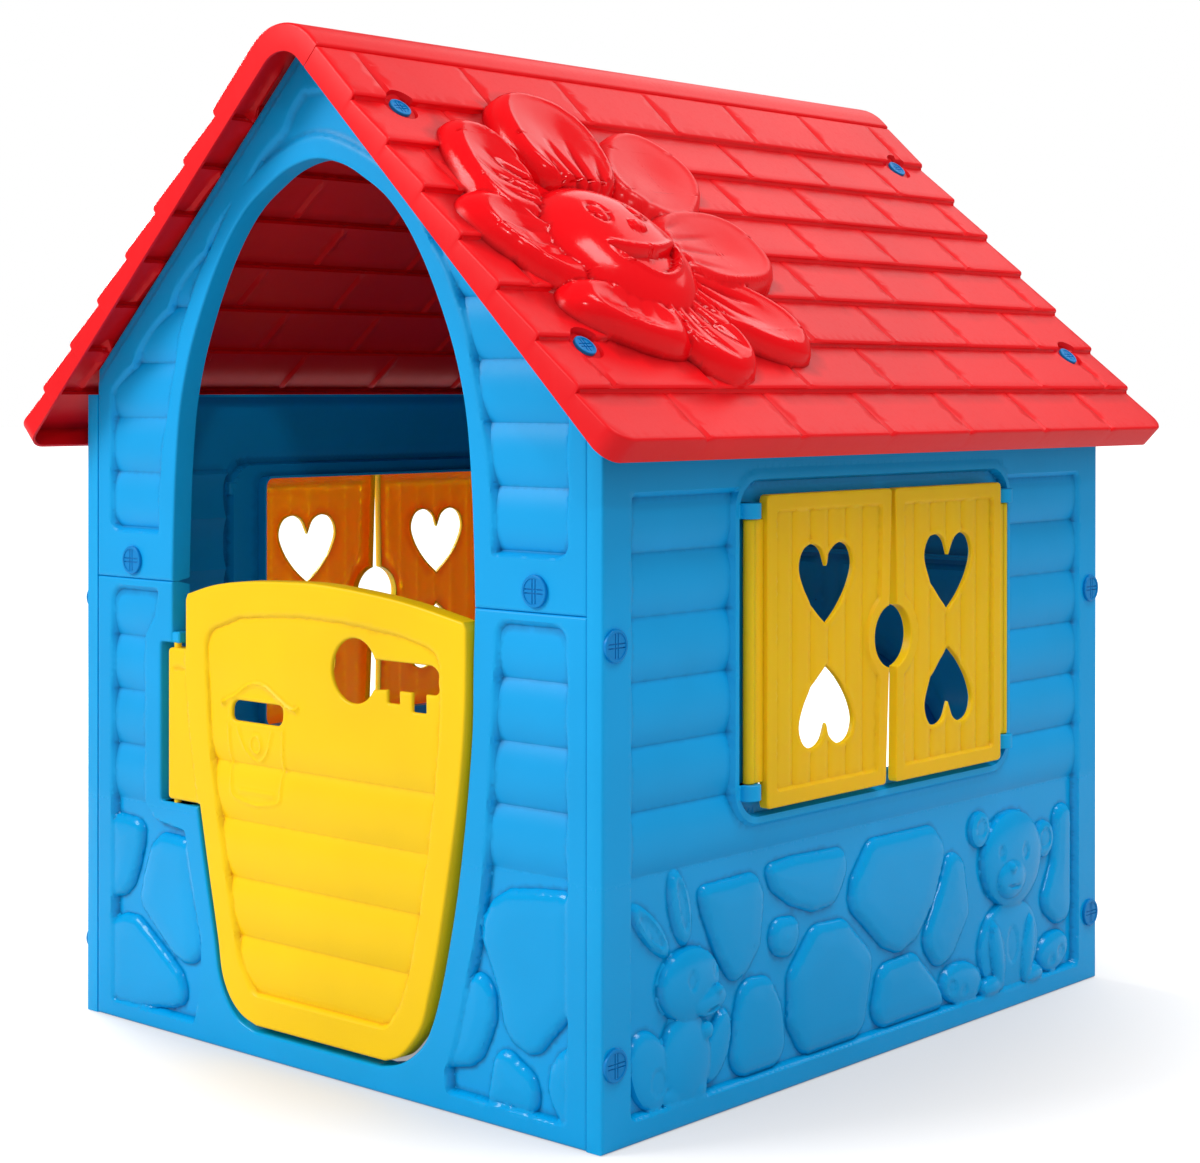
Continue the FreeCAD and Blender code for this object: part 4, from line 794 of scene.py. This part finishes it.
box_line = rounded([(-137, 346), (-132, 268, 10), (-93, 261, 60), (-55, 268, 10), (-50, 346)])
canopy = curve([(-146, 365), (-141, 367.5), (-124, 375), (-110, 384), (-94, 388.5), (-78, 386), (-64, 378.5),
                (-48, 369.5), (-36, 366), (-30, 366.5)])
pouch = curve([(-122, 340), (-110, 318), (-94, 307), (-78, 316), (-68, 340)])
sill = run([(-119, 275.5), (-66, 275.5)])


def away(p, line):
    """Distance from an open line."""
    out = np.full(len(p), 20.0)
    near = np.nonzero(np.all((p > line.min(0) - 10) & (p < line.max(0) + 10), 1))[0]
    a, b = line[:-1], line[1:]
    ab = b - a
    for i in range(0, len(near), 4000):
        k = near[i:i + 4000]
        ap = p[k][:, None] - a[None]
        t = np.clip(np.sum(ap * ab, 2) / np.maximum(np.sum(ab * ab, 1), 1e-9), 0, 1)
        out[k] = np.sqrt(np.min(np.sum((ap - t[:, :, None] * ab) ** 2, 2), 1))
    return out


def door_surface(p):
    v = p[:, 1]
    deep = np.where(v < 333, logs(v, -1.8, 2.6), -1.8 + 0.6 * np.sin((v - 333) / 24.0) ** 2)
    inset = within(p, door_field, 8)
    d = -4 + (deep + 4) * ease(inset / 5.0) + 0.7 * np.exp(-((inset - 4.0) / 1.8) ** 2)
    outline = np.where(v < 344, np.abs(within(p, box_line, 8)), 20.0)
    for gap, high in ((outline, 1.3), (away(p, canopy), 1.9), (away(p, pouch), 1.3), (away(p, sill), 1.2)):
        d = d - high * np.exp(-(gap / 1.6) ** 2)
    for end in (canopy[0], canopy[-1]):
        d = d - 1.8 * ease((3.8 - np.hypot(*(p - end).T)) / 2.0)
    e = np.hypot((p[:, 0] + 93) / 7.5, (v - 325) / 9.0)
    d = d - 1.4 * np.exp(-((e - 1) / 0.22) ** 2) - 0.9 * ease(1.6 - 2 * e)
    s = within(p, slot, 8)
    d = d - 0.8 * np.exp(-((s + 3.2) / 1.8) ** 2)
    d = d + (-1.4 - d) * ease(within(p, tab_zone, 8) / 3.0)
    return d + 1.6 * ease((1.5 - np.hypot((p[:, 0] + 221) / 8.0, (v - 394) / 2.2)) / 0.6)


door_lines = (log_lines(-172, 178, 100, 320) + inset_lines([door_field], (0, 2.5, 4.0, 5.2))
              + inset_lines([box_line], (-2.2, 0, 2.2)) + inset_lines([tab_zone], (0, 3.0))
              + [(ellipse(-93, 325, 7.5 * k, 9.0 * k, 0, 2.0), True) for k in (0.8, 1.0, 1.25)])
door = panel(door_outer, [key, slot], door_surface, door_lines,
             [(2.3, lambda p: (p[:, 1] > 255) & (p[:, 0] < -30)), (4.0, None)],
             lambda l: np.full(len(l), 16.0) if area(l) > 0 else np.full(len(l), 2.0), edge=2.6, lip=2.6)
door = together(door, post(DOOR_AXIS_U, DOOR_AXIS_D, TAB_LOW - 8, TAB_HIGH + 8, 4),
                block(-237, -222, 3, 15.5, TAB_LOW + 1, TAB_HIGH - 1, 2.0))

# ---------------------------------------------------------------- roof
JOINT = 147.0
FACE, FACE_R = (-302.0, 382.0), 96.0
FLOWER, FLOWER_R = (-262.0, 346.0), 245.0
# across, down the slope, half length, half width, direction, lift, folds
PETALS = [(-271, 220, 84, 68, -78, 12, 1.0), (-148, 256, 88, 66, -40, 5, 0.25),
          (-146, 371, 88, 62, -5, 8, 0.4), (-172, 460, 88, 50, 33, 3, 1.0), (-266, 488, 72, 46, 71, 7, 0.6),
          (-357, 471, 76, 36, 27, 7, 0.1), (-412, 366, 80, 40, 58, 4, 0.2), (-388, 266, 84, 46, 100, 6, 0.9)]
FULL = 2.5       # petals are a little squarer than ellipses


def petal_rim(y, s, a, b, way, inset):
    t = np.linspace(0, 2 * math.pi, int((a + b) * 1.1), endpoint=False)
    x = (a - inset) * np.sign(np.cos(t)) * np.abs(np.cos(t)) ** (2 / FULL)
    z = (b - inset) * np.sign(np.sin(t)) * np.abs(np.sin(t)) ** (2 / FULL)
    c, n = math.cos(math.radians(way)), math.sin(math.radians(way))
    return closed(np.stack([y + c * x - n * z, s + n * x + c * z], 1), 3.0)


def flower_height(p):
    """Height of the flower above the crest plane; negative where there is none."""
    h = np.full(len(p), -50.0)
    near = np.nonzero(np.hypot(*(p - FLOWER).T) < FLOWER_R)[0]
    q = p[near]
    from_face = q - np.array(FACE)
    ring = np.hypot(from_face[:, 0], from_face[:, 1])
    top = np.where(ring < FACE_R + 34, 5.0 - 13 * ease((ring - FACE_R - 14) / 20), -50.0)
    for y, s, a, b, way, lift, folds in PETALS:
        c, n = math.cos(math.radians(way)), math.sin(math.radians(way))
        x, t = (q[:, 0] - y) * c + (q[:, 1] - s) * n, -(q[:, 0] - y) * n + (q[:, 1] - s) * c
        e = (np.abs(x / a) ** FULL + np.abs(t / b) ** FULL) ** (1 / FULL)
        rim = (1 - e) * b
        crown = -9 + (lift + 22) * np.sqrt(np.maximum(1 - (1 - np.clip(rim / 15.0, 0, 1)) ** 2, 0))
        crown = crown + 1.2 * np.exp(-((rim - 12) / 4.5) ** 2) - 4.5 * ease((rim - 13) / (b - 13))
        out = np.array([y, s]) - FACE
        heading = math.atan2(out[1], out[0])
        swing = (np.arctan2(from_face[:, 1], from_face[:, 0]) - heading + math.pi) % (2 * math.pi) - math.pi
        for k in (-1.6, -0.6, 0.4, 1.5):
            gap = ring * np.sin(swing - 0.17 * k)
            fade = ease((FACE_R + 84 - 10 * k * k - ring) / 60) * (np.abs(swing) < 1)
            crown = crown - folds * 5.0 * np.exp(-(gap / 4.0) ** 2) * fade
        top = np.where(e < 1, np.maximum(top, crown), top)
    e = ring / FACE_R
    face = 2 + 38 * np.maximum(1 - e ** 2.3, 0) ** 0.52
    for u, v, a, b in ((-25, -30, 10, 14), (36, -35, 9, 14)):
        r = np.hypot((from_face[:, 0] - u) / a, (from_face[:, 1] - v) / b)
        face = face - 2.0 * np.exp(-((r - 1.0) / 0.2) ** 2) + 1.4 * ease(1.1 - r)
    r = np.hypot((from_face[:, 0] - 12) / 12, (from_face[:, 1] + 8) / 9)
    face = face + 4.5 * np.sqrt(np.maximum(1 - r * r, 0))
    t = (from_face[:, 0] - 10) / 60.0
    lean = 6 - 0.10 * (from_face[:, 0] - 10)
    above, below = from_face[:, 1] - (lean + 18 * (1 - t * t)), (lean + 48 * (1 - t * t)) - from_face[:, 1]
    smile = np.where(np.abs(t) < 1, np.minimum(above, below), -9.0)
    lips = 2.0 * np.exp(-((smile + 3.0) / 2.6) ** 2) * ease((1 - np.abs(t)) / 0.2)
    face = face - 9.0 * ease(smile / 6.0) + lips
    top = np.where(e < 1, np.maximum(top, face), top)
    h[near] = top
    return h


def course(s):
    """Number of the course, where it starts, and how far down it the point is."""
    k = np.clip(np.searchsorted(STEPS, s - 0.02), 0, 7)
    ends = np.array(STEPS)
    start = np.where(k == 0, TUCK, ends[np.maximum(k - 1, 0)])
    return k, ends[k], start, np.clip((s - start) / (ends[k] - start), 0, 1)


def pockets(p, d):
    """Room for the screw heads."""
    for y, s in ROOF_SCREWS:
        r = np.hypot(p[:, 0] - y, p[:, 1] - s)
        d = d + (np.maximum(d, 8.5) - d) * ease((19.5 - r) / 1.8)
    return d


def tile_joint(y, k):
    """Place across the tiles: distance to the nearest joint, tile number, share of its width."""
    off = np.where(k % 2 == 0, 0.0, JOINT / 2)
    number = (y - off) / JOINT
    return np.abs(number - np.round(number)) * JOINT, np.floor(number), number - np.floor(number)


def tile_depth(p, ridge_flush):
    """Depth of overlapping tiles below the crest plane."""
    y, s = p[:, 0], p[:, 1]
    k, end, start, share = course(s)
    d = np.where(k == 0, 0.0 if ridge_flush else 1.5, STEP) * (1 - share)
    d = d + 2.0 * np.clip((s - end + 3.0) / 3.0, 0, 1) ** 2
    gap, column, across = tile_joint(y, k)
    tilt = 0.5 * np.sin(12.9898 * column + 78.233 * k + 1.7) * (across - 0.5)      # no two tiles lie alike
    d = d + tilt + 0.25 * np.sin(5.1 * column + 3.3 * k)
    deep = (1.4 + 2.4 * share) * np.clip(1 - gap / 4.8, 0, 1) ** 0.8
    if ridge_flush:
        smooth = ease((s - CAP_END) / 12)
        return pockets(p, np.where(k == 0, d * smooth + deep * ease((s - CAP_END - 18) / 8), d + deep))
    d = d + deep
    lifted = ease((s - TUCK) / 1.6)
    return pockets(p, np.where(s < TUCK, 8.0, np.where(s < TUCK + 1.6, 7.0 + (d - 7.0) * lifted, d)))


def tile_under(p):
    """Inner side: the courses step the other way and the joints stand out as ribs."""
    y, s = p[:, 0], p[:, 1]
    k, end, start, share = course(s)
    d = np.where(k == 0, 0.0, STEP * (1 - share) * ease((s - start) / 3.0))
    gap = tile_joint(y, k)[0]
    rib = 3.4 * ease((5.5 - gap) / 4.0) * ease((end - s) / 4.0) * ease((s - start - 4) / 4.0)
    return pockets(p, d + np.where(s > CAP_END + 14, rib, 0))


def verge(start, stop):
    """Points down a gable end, with one at each edge of the courses."""
    keys = [start, stop] + [s + o for s in STEPS[:-1] for o in (-3.0, -1.2, 0.0, 0.8) if start < s + o < stop]
    out = []
    for a, b in zip(sorted(keys)[:-1], sorted(keys)[1:]):
        k = max(1, int(round((b - a) / 6.0)))
        out += [a + (b - a) * i / k for i in range(k)]
    return out + [stop]


def roof_panel(flowered, ridge_flush):
    corner, start = 22.0, (CAP_END - 2 * CAP_R * SLOPE - CAP_LIP if ridge_flush else CAP_END + CAP_LIP + 1.0)
    down = [(ROOF_HALF, s) for s in verge(start, ROOF_LEN - corner)]
    angles = [math.radians(a) for a in range(9, 90, 9)]
    arc_down = [(ROOF_HALF - corner * (1 - math.cos(a)), ROOF_LEN - corner * (1 - math.sin(a)))
                for a in angles]
    eave = run([(ROOF_HALF - corner, ROOF_LEN), (-ROOF_HALF + corner, ROOF_LEN)], 6.0)
    half = down + arc_down
    outer = half + listed(eave) + [(-u, v) for u, v in reversed(half)]
    if not ridge_flush:
        outer += listed(run([(-ROOF_HALF + 7, start), (-ROOF_HALF + 7, 52), (ROOF_HALF - 7, 52),
                             (ROOF_HALF - 7, start)], 6.0))
    else:
        outer += listed(run([(-ROOF_HALF, start), (ROOF_HALF, start)], 6.0)[1:-1])
    outer = np.array(outer)
    lines = [stroke((-486, s + o), (486, s + o), 9.0) for s in STEPS[:-1] for o in (-3.0, -1.2, 0.0, 0.8)]
    back = [stroke((-486, s + o), (486, s + o), 12.0) for s in STEPS[:-1] for o in (0.0, 3.0)]
    if not ridge_flush:
        lines += [stroke((-486, TUCK + o), (486, TUCK + o), 9.0) for o in (0.0, 1.6)]
    for k, s in enumerate(STEPS):
        first = (STEPS[k - 1] if k else (CAP_END + 14 if ridge_flush else TUCK)) + 2.6
        for i in range(-3, 4):
            y = (i + (0.5 if k % 2 else 0.0)) * JOINT
            if abs(y) < 480:
                lines += [stroke((y + o, first), (y + o, s - 4.4), 7.0)
                          for o in (-4.8, -1.6, 0.0, 1.6, 4.8)]
                back += [stroke((y + o, first + 2), (y + o, s - 5), 9.0) for o in (-5.5, -1.5, 1.5, 5.5)]
    for y, s in ROOF_SCREWS:
        lines += [(ellipse(y, s, r, r), True) for r in (19.5, 17.7)]
    grids = [(5.0, lambda p: p[:, 1] < CAP_END + 2), (14.0, None)] if ridge_flush else [(14.0, None)]
    if flowered:
        for y, s, a, b, way, lift, folds in PETALS:
            lines += [(petal_rim(y, s, a, b, way, o), True) for o in (0.2, 1.2, 3.6, 8.0)]
        lines += [(ellipse(*FACE, FACE_R - o, FACE_R - o), True) for o in (0.2, 1.2, 4.0)]
        grids.insert(0, (2.5, lambda p: (flower_height(p) > -45)))

    def surface(p):
        d = tile_depth(p, ridge_flush)
        return pockets(p, np.minimum(d, -flower_height(p))) if flowered else d

    def turn(l):
        return np.where((l[:, 1] <= start + 0.1) & (np.abs(l[:, 0]) < ROOF_HALF - 0.1),
                        7.0 if ridge_flush else 12.0, FASCIA)
    return panel(outer, [], surface, lines, grids, turn, edge=3.0, back_lines=back, back_pitch=10.0,
                 under=tile_under)


def over_ridge(p):
    """Left slope and the round ridge that is one piece with it."""
    y, n, s = p[:, 0], -p[:, 1], p[:, 2]
    angle = np.clip((CAP_END - s) / CAP_R, 0, 2 * SLOPE) - SLOPE
    beyond = s - np.clip(s, CAP_END - 2 * CAP_R * SLOPE, CAP_END)
    x = (CAP_R + n) * np.sin(angle) - np.abs(beyond) * np.cos(SLOPE) * np.sign(beyond)
    z = CAP_TOP - CAP_R + (CAP_R + n) * np.cos(angle) - np.abs(beyond) * math.sin(SLOPE)
    return np.stack([x, y, z], 1)


# ---------------------------------------------------------------- materials
def srgb(*levels):
    shares = [level / 255 for level in levels]
    return tuple(c / 12.92 if c <= 0.04 else ((c + 0.055) / 1.055) ** 2.4 for c in shares) + (1.0,)


class Shading:
    """Adds nodes to one node tree and returns their outputs."""

    def __init__(self, tree):
        self.tree = tree

    def fill(self, socket, value):
        """Links an output to the socket, or sets a plain value."""
        if isinstance(value, bpy.types.NodeSocket):
            self.tree.links.new(value, socket)
        else:
            socket.default_value = value

    def node(self, kind, **values):
        added = self.tree.nodes.new("ShaderNode" + kind)
        for name, value in values.items():
            self.fill(added.inputs[name.replace("_", " ")], value)
        return added

    def attribute(self, name):
        added = self.node("Attribute")
        added.attribute_name = name
        return added.outputs["Fac"]

    def noise(self, where, scale, detail, rough):
        return self.node("TexNoise", Vector=where, Scale=scale, Detail=detail, Roughness=rough).outputs["Fac"]

    def mapped(self, value, low, high, to_low, to_high, way="LINEAR"):
        added = self.node("MapRange", Value=value, From_Min=low, From_Max=high, To_Min=to_low, To_Max=to_high)
        added.interpolation_type = way
        return added.outputs["Result"]

    def combined(self, operation, a, b):
        added = self.node("Math")
        added.operation = operation
        self.fill(added.inputs[0], a)
        self.fill(added.inputs[1], b)
        return added.outputs[0]

    def mixed(self, share, a, b):
        added = self.node("Mix")
        added.data_type = "RGBA"
        for socket, value in ((0, share), (6, a), (7, b)):
            self.fill(added.inputs[socket], value)
        return added.outputs[2]


def plastic(name, colour, painted_corner_shade, light, rough, glossy, shine=0.22, glow=0.0, wear_and_highlight_amount=0.4):
    """Moulded polythene: slight tint drift, pale edges for wear and painted highlight, painted shade in the
    corners, fine pebbled bump and scuffs.
    """
    material = bpy.data.materials.new(name)
    material.use_nodes = True
    add = Shading(material.node_tree)
    shader = material.node_tree.nodes["Principled BSDF"]
    for socket, value in (("IOR", 1.5), ("Specular IOR Level", shine), ("Subsurface Weight", glow),
                          ("Subsurface Radius", (1.0, 0.42, 0.06)), ("Subsurface Scale", 0.012)):
        shader.inputs[socket].default_value = value
    where = add.node("TexCoord").outputs["Object"]
    bend = add.attribute("bend")
    drift = add.mapped(add.noise(where, 3.5, 3.0, 0.55), 0.35, 0.7, 0.0, 1.0)
    tint = add.mixed(drift, colour, tuple(0.88 * c for c in colour[:3]) + (1.0,))
    # edges that stand out turn paler: scuffed wear, and a painted highlight where rounded edges would catch
    # the light
    wear_and_highlight = add.combined("MULTIPLY", add.mapped(bend, 0.03, 0.55, 0.0, wear_and_highlight_amount), add.noise(where, 95.0, 4.0, 0.7))
    tint = add.mixed(wear_and_highlight, tint, light)
    # painted shade: concave corners and creases are darkened towards the shade colour
    tint = add.mixed(add.mapped(bend, -0.03, -0.4, 0.0, 0.85), tint, painted_corner_shade)
    add.fill(shader.inputs["Base Color"], tint)
    streaks = add.node("Mapping", Vector=where, Scale=(260.0, 240.0, 18.0), Rotation=(0.5, 0.7, 0.3))
    scuffs = add.mapped(add.noise(streaks.outputs["Vector"], 1.0, 5.0, 0.65), 0.5, 0.8, 0.0, 0.10)
    base = add.mapped(add.attribute("gloss"), 0.0, 1.0, rough, glossy)
    add.fill(shader.inputs["Roughness"], add.combined("ADD", base, scuffs))
    waves = add.node("Bump", Strength=0.35, Distance=0.0009, Height=add.noise(where, 22.0, 2.0, 0.5))
    pebbles = add.node("Bump", Strength=0.16, Distance=0.0002, Height=add.noise(where, 620.0, 3.0, 0.6),
                       Normal=waves.outputs["Normal"])
    add.fill(shader.inputs["Normal"], pebbles.outputs["Normal"])
    return material


# each material: its colour, the painted shade for corners, the pale edge colour for wear and painted
# highlight, then roughness and gloss
blue = plastic("blue_plastic", srgb(0, 163, 231), srgb(0, 66, 128), srgb(14, 184, 243), 0.42, 0.15)
red = plastic("red_plastic", srgb(240, 12, 22), srgb(126, 3, 9), srgb(238, 38, 46), 0.36, 0.12,
              shine=0.2, wear_and_highlight_amount=0.3)
door_yellow = plastic("door_yellow_plastic", srgb(255, 208, 0), srgb(214, 130, 0), srgb(255, 224, 50),
                      0.38, 0.22)
shutter_yellow = plastic("shutter_yellow_plastic", srgb(255, 190, 4), srgb(214, 130, 0), srgb(255, 208, 50),
                         0.40, 0.22, shine=0.2, glow=0.55)
screw_blue = plastic("screw_blue_plastic", srgb(0, 132, 205), srgb(0, 70, 135), srgb(50, 170, 230),
                     0.34, 0.2, shine=0.2)


def gloss_over(obj, rule):
    """Marks where a piece is glossier than the rest of it."""
    mesh = obj.data
    co = np.zeros(len(mesh.vertices) * 3, np.float32)
    mesh.vertices.foreach_get("co", co)
    value = rule(co.reshape(-1, 3).astype(float) * 1000)
    mesh.attributes.new("gloss", "FLOAT", "POINT").data.foreach_set("value", value.astype(np.float32))


def low_gloss(co):
    return 1 - ease((co[:, 2] - 232) / 20)


def mirrored(place):
    return lambda p: place(p * np.array([-1, 1, 1]))


for name, shape, place, flip in (
        ("side_right", side, at_right, False), ("side_left", side, at_left, True),
        ("front_upper", front_upper, at_front, False), ("front_lower", front_lower, at_front, False),
        ("back_upper", back_upper, at_back, False), ("back_lower", back_lower, at_back, False)):
    kind, which = name.split("_")
    node = "side_wall_" + which if kind == "side" else "%s_wall_%s" % (kind, which)
    gloss_over(make("wall_" + name, shape, place, "house", [node], blue, flip), low_gloss)

leaning, straight = shutter(-10.0, 0.5, 3.0), shutter(-8.0, -7.0, -3.0)
for end, shape in (("front", leaning), ("rear", straight)):
    for hand, place in (("right", at_right), ("left", at_left)):
        node = "shutter_%s_%s" % (hand, end)
        flip = (end == "rear") != (hand == "left")
        where_to = place if end == "front" else mirrored(place)
        make("leaf_%s_%s" % (hand, end), shape, where_to, node, [node], shutter_yellow, flip)

make("half_door", door, at_front, "door", ["door", "door_letter_collar"], door_yellow)


def flower_gloss(co):
    s = (RIDGE_Z - co[:, 2]) * math.sin(SLOPE) + co[:, 0] * math.cos(SLOPE)
    n = (co[:, 2] - RIDGE_Z) * math.cos(SLOPE) + co[:, 0] * math.sin(SLOPE)
    r = np.hypot(co[:, 1] - FLOWER[0], s - FLOWER[1])
    # the two petals furthest back are duller
    satin = ease((co[:, 1] + 235) / 40) * ease((440 - s) / 30)
    return ease((FLOWER_R + 5 - r) / 14) * ease((n + 1) / 5) * (1 - 0.8 * satin)


roof_right = make("roof_right", roof_panel(True, False), on_roof, "house", ["roof_panel_right"],
                  red, True)
gloss_over(roof_right, flower_gloss)
make("roof_left", roof_panel(False, True), over_ridge, "house", ["roof_panel_left"], red)

for name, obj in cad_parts.items():
    if name.startswith("screw"):
        obj.data.materials.clear()
        obj.data.materials.append(screw_blue)

# ---------------------------------------------------------------- stage, lights and camera
bpy.ops.mesh.primitive_circle_add(vertices=96, radius=40.0, fill_type="NGON", location=(0, 0, -0.0005))
floor = bpy.context.object
floor.name = "floor"
white = bpy.data.materials.new("floor_white")
white.use_nodes = True
add = Shading(white.node_tree)
paper = white.node_tree.nodes["Principled BSDF"]
for socket, value in (("Base Color", (0.5, 0.5, 0.5, 1)), ("Roughness", 0.9), ("Specular IOR Level", 0.1),
                      ("Emission Color", (1, 1, 1, 1))):
    paper.inputs[socket].default_value = value
apart = add.node("VectorMath")
apart.operation = "LENGTH"
add.fill(apart.inputs[0], add.node("TexCoord").outputs["Object"])
# a soft shadow under the house and white paper further off, which throws little light itself
whiter = add.mapped(apart.outputs["Value"], 0.4, 1.15, 0.34, 1.0, "SMOOTHSTEP")
direct = add.mapped(add.node("LightPath").outputs["Is Camera Ray"], 0.0, 1.0, 0.12, 1.0)
add.fill(paper.inputs["Emission Strength"], add.combined("MULTIPLY", whiter, direct))
floor.data.materials.append(white)


def softbox(name, spot, aim, size, watts):
    data = bpy.data.lights.new(name, "AREA")
    data.shape, data.size, data.size_y, data.energy = "RECTANGLE", size[0], size[1], watts
    obj = bpy.data.objects.new(name, data)
    obj.location = spot
    way = np.array(aim, float) - np.array(spot, float)
    obj.rotation_euler = Vector(way).to_track_quat("-Z", "Y").to_euler()
    bpy.context.scene.collection.objects.link(obj)


softbox("key", (-2.0, -3.6, 3.0), (0, -0.4, 0.45), (1.8, 1.8), 126)
softbox("side_fill", (1.8, 0.2, 3.9), (0.3, 0, 0.6), (1.2, 1.2), 52)
softbox("left_glow", (-3.2, 0.3, 1.7), (-0.3, 0, 0.45), (1.2, 1.2), 105)
softbox("roof_sheen", (-0.4, 3.0, 3.2), (0.1, 0, 0.85), (3.4, 1.8), 23)
softbox("glint", (2.9, -2.6, 3.0), (0.3, 0, 0.4), (0.2, 0.2), 16)

world = bpy.data.worlds.new("studio")
bpy.context.scene.world = world
world.use_nodes = True
sky = world.node_tree.nodes["Background"]
sky.inputs["Color"].default_value = (1, 1, 1, 1)
add = Shading(world.node_tree)
rays = add.node("LightPath").outputs
# white backdrop, dimmer studio around it, and darker still in the gloss, as between studio lamps
backdrop = add.mapped(rays["Is Camera Ray"], 0.0, 1.0, 0.63, 1.0)
in_gloss = add.mapped(rays["Is Glossy Ray"], 0.0, 1.0, 1.0, 0.25)
add.fill(sky.inputs["Strength"], add.combined("MULTIPLY", backdrop, in_gloss))

lens = bpy.data.cameras.new("camera")
lens.sensor_width, lens.lens = 36.0, 71.17
lens.shift_y = -0.15714
lens.clip_start, lens.clip_end = 0.05, 100.0
camera = bpy.data.objects.new("camera", lens)
camera.location = (1.8055, -2.0505, 0.6947)
camera.rotation_euler = (math.radians(89.91), math.radians(-0.05), math.radians(41.507))
bpy.context.scene.collection.objects.link(camera)
bpy.context.scene.camera = camera
bpy.context.scene.view_settings.view_transform = "Standard"
